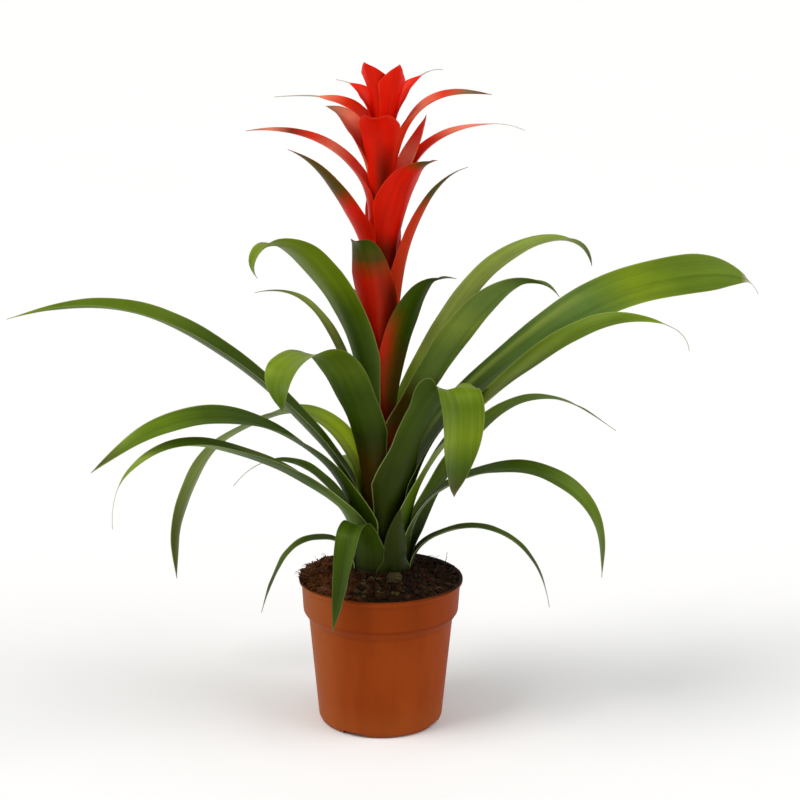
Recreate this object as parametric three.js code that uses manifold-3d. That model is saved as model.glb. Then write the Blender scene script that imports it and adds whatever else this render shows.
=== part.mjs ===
// A bromeliad in flower in its plastic nursery pot. Millimetres, +Z up, +X to the right and -Y towards
// the viewer. The origin is the middle of the pot's underside, where the pot stands.
import * as THREE from "three";
import { mergeVertices } from "three/addons/utils/BufferGeometryUtils.js";
import Module from "manifold-3d";

const wasm = await Module();
wasm.setup();

// ---- Driving dimensions ----

// The thin moulded pot: a 120 mm size with a straight collar above a tapering body.
const POT = {
  height: 110,
  lipRadius: 60.5,
  lipHeight: 2.6,
  collarTopRadius: 58.6,
  collarFootRadius: 57.4,
  collarFootZ: 87,
  shoulderRadius: 53,
  shoulderZ: 78,
  bodyFootRadius: 46,
  cornerRadius: 4,
  wall: 1.2,
  floorZ: 3,
  footRingWidth: 3,
  hubRadius: 13,
  sides: 40,
};
const DRAIN = { holes: 6, ringRadius: 27, holeRadius: 4.5, sides: 12 };
const NOTCH = { count: 4, width: 17, height: 3, turn: 64 };

const GAP = 0.3; // what touching pieces keep between them

// The soil fills the pot to its collar and rises to a mound under the plant.
const SOIL = { edgeZ: 108.5, moundZ: 118.5, moundRadius: 24.5, lump: 1.3, rings: 7 };

// The stem: a cone that carries the leaves, then the slender flower stem inside the bracts.
const STEM = {
  footZ: 100,
  footRadius: 12,
  footHeight: 8,
  neckHeight: 8,
  flowerRadius: 5.4,
  topRadius: 3,
  topZ: 446,
  sides: 16,
};

// Leaves sit on the cone in turns. Seat 0 is the innermost and highest one.
const SEAT = { radius: 8.2, z: 152, widen: 1.4, drop: 3 };

// How a blade is drawn: facets around and along it, its thickness at the seat and at the tip, the width
// of a dry tip, how much broader its foot is, how far round the stem (degrees each side) it wraps, and
// how clear of the stem it sits.
const LEAF = {
  around: 8,
  along: 18,
  thick: 0.7,
  tipThick: 0.45,
  tipWidth: 1,
  foot: 0.5,
  wrap: 52,
  clear: 0.5,
};
const BRACT = {
  around: 8,
  along: 11,
  thick: 0.6,
  tipThick: 0.4,
  tipWidth: 0.9,
  foot: 0,
  wrap: 62,
  clear: 0.45,
};

// What all blades share: steps of the midrib between two rings of facets, the shares of the length where
// the roll comes in and where the broad foot ends, how full the pointed arch of the tip is, how quickly
// the thickness thins towards the edges, and the half width below which the channel flattens out.
const BLADE = {
  substeps: 5,
  rollFrom: 0.25,
  rollTo: 0.75,
  footFrom: 0.03,
  footTo: 0.22,
  archPower: 2.2,
  edgePower: 3,
  flatHalf: 6,
};

// Each leaf: the way it points (az, degrees from +X), its seat, its length and full width, its roll and
// sideways drift by the tip, how deep it is channelled (cup), the share of its length where it starts
// to narrow and the share that is a dry thread (tail), and its climb: degrees above the horizon at
// even steps from seat to tip.
const LEAVES = {
  leaf_left_long: {
    az: 183, seat: 6, length: 345, width: 29, roll: -8, cup: 38, taper: 0.5,
    climb: [88, 81, 60, 51, 47, 42, 36, 32, 24, 10, -2, -10, -18],
  },
  leaf_left_crest: {
    az: 215, seat: 0, length: 280, width: 36, roll: 14, cup: 22, taper: 0.78,
    climb: [89, 88, 88, 87, 86, 84, 79, 76, 72, 66, 58, 51, 46, 30, 6, -60, -140],
  },
  leaf_left_slim: {
    az: 160, seat: 2, length: 220, width: 18, roll: 0, cup: 26, taper: 0.45,
    climb: [88, 87, 85, 83, 81, 77, 71, 62, 52, 30, 0, -18],
  },
  leaf_front_left_curl: {
    az: 231, seat: 3, length: 235, width: 40, roll: 8, cup: 20, taper: 0.74,
    climb: [90, 88, 84, 79, 74, 66, 61, 55, 30, 0, -22, -90, -118],
  },
  leaf_left_broad: {
    az: 213, seat: 7, length: 276, width: 28, roll: -22, drift: -16, cup: 22, taper: 0.5,
    climb: [88, 78, 63, 51, 41, 33, 26, 15, 2, -11, -22, -33, -40],
  },
  leaf_left_low: {
    az: 211, seat: 9, length: 276, width: 27, roll: -8, cup: 32, taper: 0.15, tail: 0.1,
    climb: [90, 75, 46, 39, 34, 27, 23, 19, 6, -16, -38, -76, -94],
  },
  leaf_back_left_arch: {
    az: 148, seat: 5, length: 334, width: 26, roll: -4, cup: 26, taper: 0.6,
    climb: [89, 88, 77, 48, 23, -4, -24, -28, -34, -48, -60, -66, -76, -88, -94],
  },
  leaf_back_left_short: {
    az: 165, seat: 8, length: 142, width: 16, roll: -10, cup: 26, taper: 0.3, tail: 0.2,
    climb: [86, 80, 70, 48, 42, 34, 12, -10, -28, -44, -54],
  },
  leaf_low_left: {
    az: 192, seat: 11, length: 112, width: 12, roll: 0, cup: 30, taper: 0.4,
    climb: [88, 62, 14, -8, -38, -60, -66, -70, -76],
  },
  leaf_front_fold: {
    az: 247, seat: 10, length: 134, width: 19, roll: 6, cup: 26, taper: 0.4,
    climb: [90, 88, 66, 44, 34, -14, -62, -70, -70, -68, -66, -64, -64],
  },
  leaf_low_right: {
    az: -2, seat: 11, length: 150, width: 12, roll: 4, cup: 30, taper: 0.4,
    climb: [86, 50, 25, 15, -3, -21, -36, -52, -64, -74, -82],
  },
  leaf_right_arch: {
    az: -7, seat: 9, length: 236, width: 20, roll: 26, cup: 24, taper: 0.5,
    climb: [88, 78, 58, 36, 25, 14, 0, -20, -32, -52, -74, -87, -93],
  },
  leaf_right_slim: {
    az: 34, seat: 10, length: 258, width: 18, wrap: 24, roll: 0, cup: 24, taper: 0.35,
    climb: [74, 59, 58, 52, 45, 36, 24, 8, -6, -20, -31, -34, -36],
  },
  leaf_front_right_fold: {
    az: -57, seat: 4, length: 238, width: 40, roll: -6, cup: 34, taper: 0.74,
    climb: [87, 82, 75, 69, 64, 60, 57, 54, 51, 50, 34, -54, -90, -95, -96, -96, -96],
  },
  leaf_right_crest: {
    az: 32, seat: 1, length: 316, width: 28, roll: 0, cup: 26, taper: 0.7,
    climb: [89, 88, 86, 79, 67, 59, 57, 54, 50, 43, 33, 20, 9, -5, -36, -82],
  },
  leaf_right_broad: {
    az: -35, seat: 2, length: 268, width: 40, roll: -16, cup: 28, taper: 0.6,
    climb: [88, 87, 85, 80, 69, 60, 58, 57, 55, 52, 48, 42, 24, -4, -52],
  },
  leaf_right_great: {
    az: 13, seat: 7, length: 378, width: 38, roll: 36, cup: 20, taper: 0.87, tail: 0.03,
    climb: [88, 85, 77, 69, 59, 49, 41, 37, 36, 34, 32, 28, 21, 13, 9, 5, -2, -18, -72],
  },
  leaf_right_second: {
    az: -10, seat: 8, length: 311, width: 30, roll: 26, cup: 24, taper: 0.45, tail: 0.08,
    climb: [87, 84, 74, 64, 56, 50, 47, 45, 41, 38, 34, 27, 9, -6, -28, -90],
  },
  leaf_front_scale: {
    az: 298, seat: 11, length: 52, width: 20, roll: 0, cup: 34, taper: 0.2,
    climb: [89, 87, 84, 80, 74],
  },
  leaf_back_upright: {
    az: 92, seat: 4, length: 215, width: 26, roll: 0, cup: 34, taper: 0.5,
    climb: [89, 88, 84, 75, 66, 57, 42, 20, -10, -36, -62],
  },
  leaf_back_low_right: {
    az: 84, seat: 11, length: 126, width: 20, wrap: 26, roll: 0, cup: 34, taper: 0.45,
    climb: [86, 62, 44, 32, 20, 4, -16, -38],
  },
  leaf_back_low_left: {
    az: 110, seat: 10, length: 120, width: 19, roll: 0, cup: 34, taper: 0.45,
    climb: [86, 64, 48, 36, 22, 6, -14, -36],
  },
};

// Each bract: as a leaf, but its seat is a height on the flower stem.
const BRACTS = {
  bract_01_right_low: {
    az: 311, seatZ: 168, length: 210, width: 32, roll: 0, cup: 34, taper: 0.5,
    climb: [88, 88, 87, 84, 80, 76, 71, 62, 50, 18, 0],
  },
  bract_02_back_low: {
    az: 120, seatZ: 178, length: 155, width: 26, roll: 0, cup: 34, taper: 0.5,
    climb: [88, 88, 87, 86, 85, 82, 78, 68, 56, 42, 28],
  },
  bract_03_front_low: {
    az: 251, seatZ: 188, length: 206, width: 36, roll: 0, cup: 36, taper: 0.6,
    climb: [88, 88, 88, 87, 87, 86, 85, 82, 77, 73, 69, 64, 50, 16, 0],
  },
  bract_04_back_mid: {
    az: 84, seatZ: 210, length: 145, width: 26, roll: 0, cup: 34, taper: 0.5,
    climb: [88, 88, 87, 86, 82, 74, 62, 46, 30],
  },
  bract_05_right_mid: {
    az: -12, seatZ: 235, length: 198, width: 27, roll: -8, cup: 34, taper: 0.4,
    climb: [87, 86, 85, 85, 84, 82, 75, 67, 60, 44, 14],
  },
  bract_06_left_mid: {
    az: 200, seatZ: 248, length: 203, width: 30, wrap: 48, roll: 16, cup: 32, taper: 0.45,
    climb: [87, 87, 87, 87, 86, 80, 66, 57, 53, 40, 20],
  },
  bract_07_back_high: {
    az: 75, seatZ: 262, length: 135, width: 24, roll: 0, cup: 34, taper: 0.5,
    climb: [86, 86, 86, 85, 82, 74, 62, 48, 34],
  },
  bract_08_front_right: {
    az: 310, seatZ: 280, length: 167, width: 42, roll: 0, cup: 40, taper: 0.55,
    climb: [89, 89, 87, 85, 83, 80, 76, 72, 62, 41, 25, 12],
  },
  bract_09_left_spread: {
    az: 177, seatZ: 306, length: 193, width: 24, roll: -10, cup: 34, taper: 0.4,
    climb: [87, 86, 86, 87, 88, 87, 73, 54, 41, 29, 17, 8, 0, -11],
  },
  bract_10_right_spread: {
    az: 15, seatZ: 316, length: 193, width: 22, roll: 8, cup: 34, taper: 0.35, tail: 0.12,
    climb: [84, 84, 83, 82, 81, 79, 72, 54, 35, 22, 10, 3, -12, -28],
  },
  bract_11_back_spread: {
    az: 98, seatZ: 296, length: 125, width: 24, roll: 0, cup: 34, taper: 0.5,
    climb: [85, 85, 85, 84, 80, 70, 56, 42, 30],
  },
  bract_12_front_cup: {
    az: 262, seatZ: 334, length: 136, width: 40, wrap: 53, roll: 0, cup: 40, taper: 0.62,
    climb: [87, 86, 86, 85, 84, 84, 83, 82, 76, 50, 16, 4],
  },
  bract_13_right_upright: {
    az: 20, seatZ: 350, length: 104, width: 30, roll: 0, cup: 40, taper: 0.55,
    climb: [85, 82, 79, 76, 70, 66, 66, 72, 78],
  },
  bract_14_left_cup: {
    az: 157, seatZ: 356, length: 114, width: 32, roll: -16, cup: 34, taper: 0.5,
    climb: [86, 86, 85, 83, 78, 68, 54, 36, 4],
  },
  bract_15_back_cup: {
    az: 89, seatZ: 372, length: 100, width: 22, wrap: 40, roll: 0, cup: 34, taper: 0.5,
    climb: [87, 86, 85, 83, 76, 62, 46, 24],
  },
  bract_16_right_wing: {
    az: -11, seatZ: 376, length: 137, width: 26, roll: 16, cup: 34, taper: 0.2,
    climb: [86, 84, 81, 77, 68, 52, 32, 12, 0, -8],
  },
  bract_17_left_wing: {
    az: 180, seatZ: 384, length: 132, width: 26, roll: -24, cup: 34, taper: 0.35, tail: 0.22,
    climb: [88, 88, 87, 85, 76, 48, 26, 14, 2, -3, -6],
  },
  bract_18_back_wing: {
    az: 84, seatZ: 392, length: 88, width: 20, wrap: 36, roll: 0, cup: 34, taper: 0.5,
    climb: [88, 87, 85, 79, 68, 50, 32, 12],
  },
  bract_19_right_small: {
    az: 22, seatZ: 400, length: 102, width: 28, wrap: 46, roll: 22, cup: 36, taper: 0.3, tail: 0.16,
    climb: [87, 86, 85, 82, 76, 60, 38, 22, -14],
  },
  bract_20_left_small: {
    az: 158, seatZ: 406, length: 84, width: 30, roll: -22, cup: 36, taper: 0.3, tail: 0.12,
    climb: [86, 86, 86, 84, 75, 48, 18, 2],
  },
  bract_21_crown_right: {
    az: -44, seatZ: 414, length: 74, width: 31, wrap: 58, roll: -16, cup: 44, taper: 0.6,
    climb: [86, 84, 82, 80, 76, 69],
  },
  bract_22_crown_left: {
    az: 220, seatZ: 420, length: 70, width: 31, wrap: 62, roll: 16, cup: 44, taper: 0.6,
    climb: [88, 87, 86, 79, 70, 60],
  },
  bract_23_crown_back: {
    az: 92, seatZ: 420, length: 46, width: 18, wrap: 40, roll: 0, cup: 44, taper: 0.45,
    climb: [90, 89, 88, 84, 78],
  },
};

const COLOUR = { pot: 0xb0592e, soil: 0x3b2418, stem: 0x6f7a2a, leaf: 0x4d7a22, bract: 0xd8220c };

// ---- Blades: leaves and bracts ----

const rad = THREE.MathUtils.degToRad;
const clamp = THREE.MathUtils.clamp;
const blend = THREE.MathUtils.smoothstep;
const UPRIGHT = new THREE.Vector3(0, 0, 1);
const FULL_TURN = 2 * Math.PI;

// The degrees above the horizon at a share of the length, straight between the steps of a climb.
function climbAt(climb, share) {
  const place = share * (climb.length - 1);
  const step = Math.min(Math.floor(place), climb.length - 2);
  return THREE.MathUtils.lerp(climb[step], climb[step + 1], place - step);
}

// Points along a blade's midrib from its seat to its tip, each with the directions of the blade there:
// side runs across it and up is its upper face, which looks at the stem while the blade is upright.
function midrib(blade, seat, steps) {
  const count = steps * BLADE.substeps;
  const at = new THREE.Vector3(seat.radius, 0, seat.z).applyAxisAngle(UPRIGHT, rad(blade.az));
  const stations = [];
  for (let i = 0; i <= count; i++) {
    const share = i / count;
    const turn = rad(blade.az + (blade.drift ?? 0) * share * share);
    const climb = rad(climbAt(blade.climb, share));
    const out = Math.cos(climb);
    const ahead = new THREE.Vector3(out * Math.cos(turn), out * Math.sin(turn), Math.sin(climb));
    if (i % BLADE.substeps === 0) {
      const roll = rad(blade.roll) * blend(share, BLADE.rollFrom, BLADE.rollTo);
      const side = new THREE.Vector3(-Math.sin(turn), Math.cos(turn), 0).applyAxisAngle(ahead, roll);
      const up = new THREE.Vector3().crossVectors(ahead, side);
      stations.push({ at: at.clone(), side, up, share });
    }
    at.addScaledVector(ahead, blade.length / count);
  }
  return stations;
}

// Half the width of a blade: a broader foot, the full width to where it narrows, then a pointed arch
// and any dry thread.
function halfWidth(blade, kind, share) {
  const green = 1 - (blade.tail ?? 0);
  const narrowing = clamp((share / green - blade.taper) / (1 - blade.taper), 0, 1);
  const foot = 1 + kind.foot * (1 - blend(share, BLADE.footFrom, BLADE.footTo));
  return Math.max((blade.width / 2) * foot * (1 - narrowing ** BLADE.archPower), kind.tipWidth / 2);
}

// Splits the squares of the underside along the same lines as those of the upper face, so that the two
// faces of a twisted blade never cross. The tube lists each square as two triangles, a b d and b c d,
// and the second half of its squares is the underside.
function splitAlike(index, kind) {
  const squares = kind.around * kind.along;
  for (let square = squares / 2; square < squares; square++) {
    const [a, b, d, , c] = [0, 1, 2, 3, 4].map((k) => index.getX(6 * square + k));
    [a, b, c, a, c, d].forEach((corner, k) => index.setX(6 * square + k, corner));
  }
}

// A blade's closed solid: a capped tube whose ring becomes a channelled lens and whose length follows
// the midrib. Near the stem the channel wraps around it, so that one blade sits inside the next.
function bladeGeometry(blade, kind, seat) {
  const wrap = rad(blade.wrap ?? kind.wrap);
  const tube = new THREE.CylinderGeometry(1, 1, 1, kind.around, kind.along);
  const stations = midrib(blade, seat, kind.along);
  const vertex = tube.attributes.position;
  for (let i = 0; i < vertex.count; i++) {
    const [x, y, z] = [vertex.getX(i), vertex.getY(i), vertex.getZ(i)];
    const { at, side, up, share } = stations[Math.round((0.5 + y) * kind.along)];
    const onCap = Math.hypot(x, z) < 0.5;
    const angle = onCap ? 0 : Math.atan2(x, z);
    const across = onCap ? 0 : 1 - (2 * Math.abs(angle)) / Math.PI;
    const fromAxis = Math.hypot(at.x, at.y);
    const half = Math.min(halfWidth(blade, kind, share), wrap * fromAxis);
    const arc = clamp(half / fromAxis, rad(blade.cup) * Math.min(1, half / BLADE.flatHalf), wrap);
    const thinning = 1 - Math.abs(across) ** BLADE.edgePower;
    const thick = THREE.MathUtils.lerp(kind.thick, kind.tipThick, share) * thinning;
    const bow = half / arc;
    const reach = bow - (Math.sign(angle) * thick) / 2;
    const point = at
      .clone()
      .addScaledVector(side, reach * Math.sin(across * arc))
      .addScaledVector(up, bow - reach * Math.cos(across * arc));
    vertex.setXYZ(i, point.x, point.y, point.z);
  }
  splitAlike(tube.index, kind);
  return tube;
}

// ---- Pot ----

// Turns a lathe's outline, given as [radius, z] pairs, about the Z axis.
function turned(outline, sides) {
  const lathe = new THREE.LatheGeometry(outline.map(([r, z]) => new THREE.Vector2(r, z)), sides);
  return lathe.rotateX(Math.PI / 2);
}

function solidOf(geometry) {
  const bare = geometry.clone();
  bare.deleteAttribute("normal");
  bare.deleteAttribute("uv");
  const merged = mergeVertices(bare, 1e-3);
  return new wasm.Manifold(
    new wasm.Mesh({
      numProp: 3,
      vertProperties: merged.attributes.position.array,
      triVerts: new Uint32Array(merged.index.array),
    }),
  );
}

function geometryOf(solid) {
  const mesh = solid.getMesh();
  return new THREE.BufferGeometry()
    .setAttribute("position", new THREE.BufferAttribute(mesh.vertProperties, 3))
    .setIndex(new THREE.BufferAttribute(mesh.triVerts, 1));
}

// The pot's inner radius at a height, for the wall and for the soil that fills it.
function potInside(z) {
  const { wall } = POT;
  const slope = (POT.shoulderRadius - POT.bodyFootRadius) / (POT.shoulderZ - POT.cornerRadius);
  if (z <= POT.shoulderZ) return POT.bodyFootRadius - wall + slope * (z - POT.cornerRadius);
  const up = (z - POT.shoulderZ) / (POT.collarFootZ - POT.shoulderZ);
  if (up <= 1) return THREE.MathUtils.lerp(POT.shoulderRadius, POT.collarFootRadius, up) - wall;
  const rise = (z - POT.collarFootZ) / (POT.height - POT.collarFootZ);
  return THREE.MathUtils.lerp(POT.collarFootRadius, POT.collarTopRadius, rise) - wall;
}

function potGeometry() {
  const { wall, height, cornerRadius: corner, floorZ } = POT;
  const ringInside = POT.bodyFootRadius - corner - POT.footRingWidth;
  const round = [0, 30, 60].map((a) => [
    POT.bodyFootRadius - corner * (1 - Math.sin(rad(a))),
    corner * (1 - Math.cos(rad(a))),
  ]);
  const outline = [
    [0, 0],
    [POT.hubRadius, 0],
    [POT.hubRadius + 2, floorZ],
    [ringInside - 2, floorZ],
    [ringInside, 0],
    ...round,
    [POT.bodyFootRadius, corner],
    [POT.shoulderRadius, POT.shoulderZ],
    [POT.collarFootRadius, POT.collarFootZ],
    [POT.collarTopRadius, height - POT.lipHeight - 1],
    [POT.lipRadius, height - POT.lipHeight],
    [POT.lipRadius, height],
    [potInside(height), height],
    [potInside(POT.collarFootZ), POT.collarFootZ],
    [potInside(POT.shoulderZ), POT.shoulderZ],
    [potInside(floorZ + wall), floorZ + wall],
    [0, floorZ + wall],
  ];
  let pot = solidOf(turned(outline, POT.sides));
  const { holeRadius, ringRadius } = DRAIN;
  for (let i = 0; i < DRAIN.holes; i++) {
    const hole = new THREE.CylinderGeometry(holeRadius, holeRadius, 4 * floorZ, DRAIN.sides);
    hole.rotateX(Math.PI / 2).translate(ringRadius, 0, 0).rotateZ((i / DRAIN.holes) * FULL_TURN);
    pot = pot.subtract(solidOf(hole));
  }
  for (let i = 0; i < NOTCH.count; i++) {
    const notch = new THREE.BoxGeometry(POT.bodyFootRadius, NOTCH.width, 2 * NOTCH.height);
    notch.translate(POT.bodyFootRadius, 0, 0).rotateZ(rad(NOTCH.turn) + (i / NOTCH.count) * FULL_TURN);
    pot = pot.subtract(solidOf(notch));
  }
  return geometryOf(pot);
}

// ---- Soil and stem ----

// Lumps in the soil's surface: a few crossed waves, calm under the plant.
function lumpiness(x, y) {
  const calm = blend(Math.hypot(x, y), SOIL.moundRadius - 2, SOIL.moundRadius + 6);
  const heaps = Math.sin(x * 0.31 + 1.3) * Math.cos(y * 0.27);
  const crumbs = 0.6 * Math.sin(x * 0.17 - y * 0.43);
  return calm * SOIL.lump * (heaps + crumbs);
}

// The stem's radius on its leafy cone, just inside the blades that sit there.
function coneRadius(z) {
  const inside = SEAT.radius - LEAF.thick / 2 - LEAF.clear;
  return inside + ((SEAT.z - z) / SEAT.drop) * SEAT.widen;
}

function soilGeometry() {
  const bottom = POT.floorZ + POT.wall + GAP;
  const edge = potInside(SOIL.edgeZ) - GAP;
  const pocket = STEM.footRadius + GAP;
  const mouth = coneRadius(SOIL.moundZ) + GAP;
  const outline = [
    [0, bottom],
    [potInside(bottom) - GAP, bottom],
    [potInside(POT.shoulderZ) - GAP, POT.shoulderZ],
    [potInside(POT.collarFootZ) - GAP - 0.2, POT.collarFootZ],
  ];
  for (let i = 0; i <= SOIL.rings; i++) {
    const share = i / SOIL.rings;
    const lift = blend(share, 0, 1);
    outline.push([
      THREE.MathUtils.lerp(edge, SOIL.moundRadius, share),
      THREE.MathUtils.lerp(SOIL.edgeZ, SOIL.moundZ, lift),
    ]);
  }
  const pocketZ = STEM.footZ - GAP;
  const shoulderZ = STEM.footZ + STEM.footHeight;
  outline.push([mouth, SOIL.moundZ], [pocket, shoulderZ], [pocket, pocketZ], [0, pocketZ]);
  const soil = turned(outline, POT.sides);
  const vertex = soil.attributes.position;
  for (let i = 0; i < vertex.count; i++) {
    const [x, y, z] = [vertex.getX(i), vertex.getY(i), vertex.getZ(i)];
    const onTop = z >= SOIL.edgeZ - 0.01 && Math.hypot(x, y) > SOIL.moundRadius - 1;
    if (onTop) vertex.setZ(i, z + lumpiness(x, y));
  }
  return soil;
}

function stemGeometry() {
  const outline = [
    [0, STEM.footZ],
    [STEM.footRadius, STEM.footZ],
    [STEM.footRadius, STEM.footZ + STEM.footHeight],
    [coneRadius(SOIL.moundZ), SOIL.moundZ],
    [coneRadius(SEAT.z), SEAT.z],
    [STEM.flowerRadius, SEAT.z + STEM.neckHeight],
    [STEM.topRadius, STEM.topZ - STEM.topRadius],
    [STEM.topRadius / 2, STEM.topZ],
    [0, STEM.topZ],
  ];
  return turned(outline, STEM.sides);
}

// The flower stem's radius at a height above its leafy cone.
function flowerRadiusAt(z) {
  const neckZ = SEAT.z + STEM.neckHeight;
  const share = clamp((z - neckZ) / (STEM.topZ - neckZ), 0, 1);
  return THREE.MathUtils.lerp(STEM.flowerRadius, STEM.topRadius, share);
}

// ---- Assembly ----

const bromeliad = new THREE.Group();

function add(name, geometry, color, roughness) {
  const material = new THREE.MeshStandardMaterial({ color, roughness, metalness: 0 });
  const mesh = new THREE.Mesh(geometry, material);
  mesh.name = name;
  bromeliad.add(mesh);
}

add("pot", potGeometry(), COLOUR.pot, 0.45);
add("soil", soilGeometry(), COLOUR.soil, 1);
add("flower_stem", stemGeometry(), COLOUR.stem, 0.5);
for (const [name, leaf] of Object.entries(LEAVES)) {
  const seat = { radius: SEAT.radius + leaf.seat * SEAT.widen, z: SEAT.z - leaf.seat * SEAT.drop };
  add(name, bladeGeometry(leaf, LEAF, seat), COLOUR.leaf, 0.4);
}
for (const [name, bract] of Object.entries(BRACTS)) {
  const seat = { radius: flowerRadiusAt(bract.seatZ) + BRACT.clear + BRACT.thick / 2, z: bract.seatZ };
  add(name, bladeGeometry(bract, BRACT, seat), COLOUR.bract, 0.35);
}

export default bromeliad;
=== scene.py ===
import math
import random
from dataclasses import dataclass
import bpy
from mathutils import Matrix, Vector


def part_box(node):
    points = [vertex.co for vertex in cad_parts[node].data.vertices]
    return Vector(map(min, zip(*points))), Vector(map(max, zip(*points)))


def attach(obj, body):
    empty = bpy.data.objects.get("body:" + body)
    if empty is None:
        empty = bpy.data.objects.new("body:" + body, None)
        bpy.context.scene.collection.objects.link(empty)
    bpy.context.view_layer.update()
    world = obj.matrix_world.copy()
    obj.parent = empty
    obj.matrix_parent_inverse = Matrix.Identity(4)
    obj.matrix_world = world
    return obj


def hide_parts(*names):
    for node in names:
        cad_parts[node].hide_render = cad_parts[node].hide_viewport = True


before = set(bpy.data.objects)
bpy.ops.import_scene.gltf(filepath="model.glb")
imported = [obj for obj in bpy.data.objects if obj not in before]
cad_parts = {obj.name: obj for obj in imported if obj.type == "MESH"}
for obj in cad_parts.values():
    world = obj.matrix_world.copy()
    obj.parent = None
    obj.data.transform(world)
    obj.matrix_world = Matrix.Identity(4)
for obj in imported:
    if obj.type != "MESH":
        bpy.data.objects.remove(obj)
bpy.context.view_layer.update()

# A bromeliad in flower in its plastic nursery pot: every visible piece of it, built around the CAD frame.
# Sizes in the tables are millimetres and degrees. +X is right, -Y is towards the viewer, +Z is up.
from types import SimpleNamespace

import bmesh
import bpy
import numpy as np
from mathutils import Euler, Matrix, Vector, noise

bl_info = {
    "name": "Potted bromeliad",
    "version": (1, 0, 0),
    "blender": (4, 5, 0),
    "location": "View3D > Sidebar > Bromeliad",
    "description": "Builds a flowering bromeliad in its nursery pot, piece by piece",
    "category": "Object",
}

MM = 0.001
FULL_TURN = 2 * math.pi


# ---- Leaves and bracts: how each one grows ----

@dataclass(frozen=True)
class Blade:
    """One leaf or bract. Places along it are shares of its length, from its seat to its tip."""

    az: float  # the way it points, degrees from +X
    seat: float  # a leaf's place on the cone, 0 the innermost, or a bract's height on the flower stem
    length: float
    width: float
    cup: float  # how deep it is channelled
    taper: float  # where it starts to narrow
    climb: tuple  # degrees above the horizon at even steps from seat to tip
    tint: str  # pigment letters at even steps from seat to tip
    under: str = ""  # the same for the underside, where it differs
    roll: float = 0  # its twist by the tip
    drift: float = 0  # its sideways bend by the tip
    wrap: float = 0  # degrees round the stem that it wraps on each side, where its kind's don't hold
    tail: float = 0  # how much of its end is a dry thread
    pinch: float = 0  # how much narrower and deeper its channel is over the middle of its climb
    crease: float = 0.06  # how sharply it is folded along its midrib
    edging: float = 1  # how clear its pale line is
    # where a sharp fold across it is, and how far its left and right corners stand up there
    ears: tuple = (0.5, 0, 0)
    # a band of another colour, with which several blades get painted light and shade: its letter, place
    # across from -1 to 1, width, and where it begins and ends
    streak: tuple = ()


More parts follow.
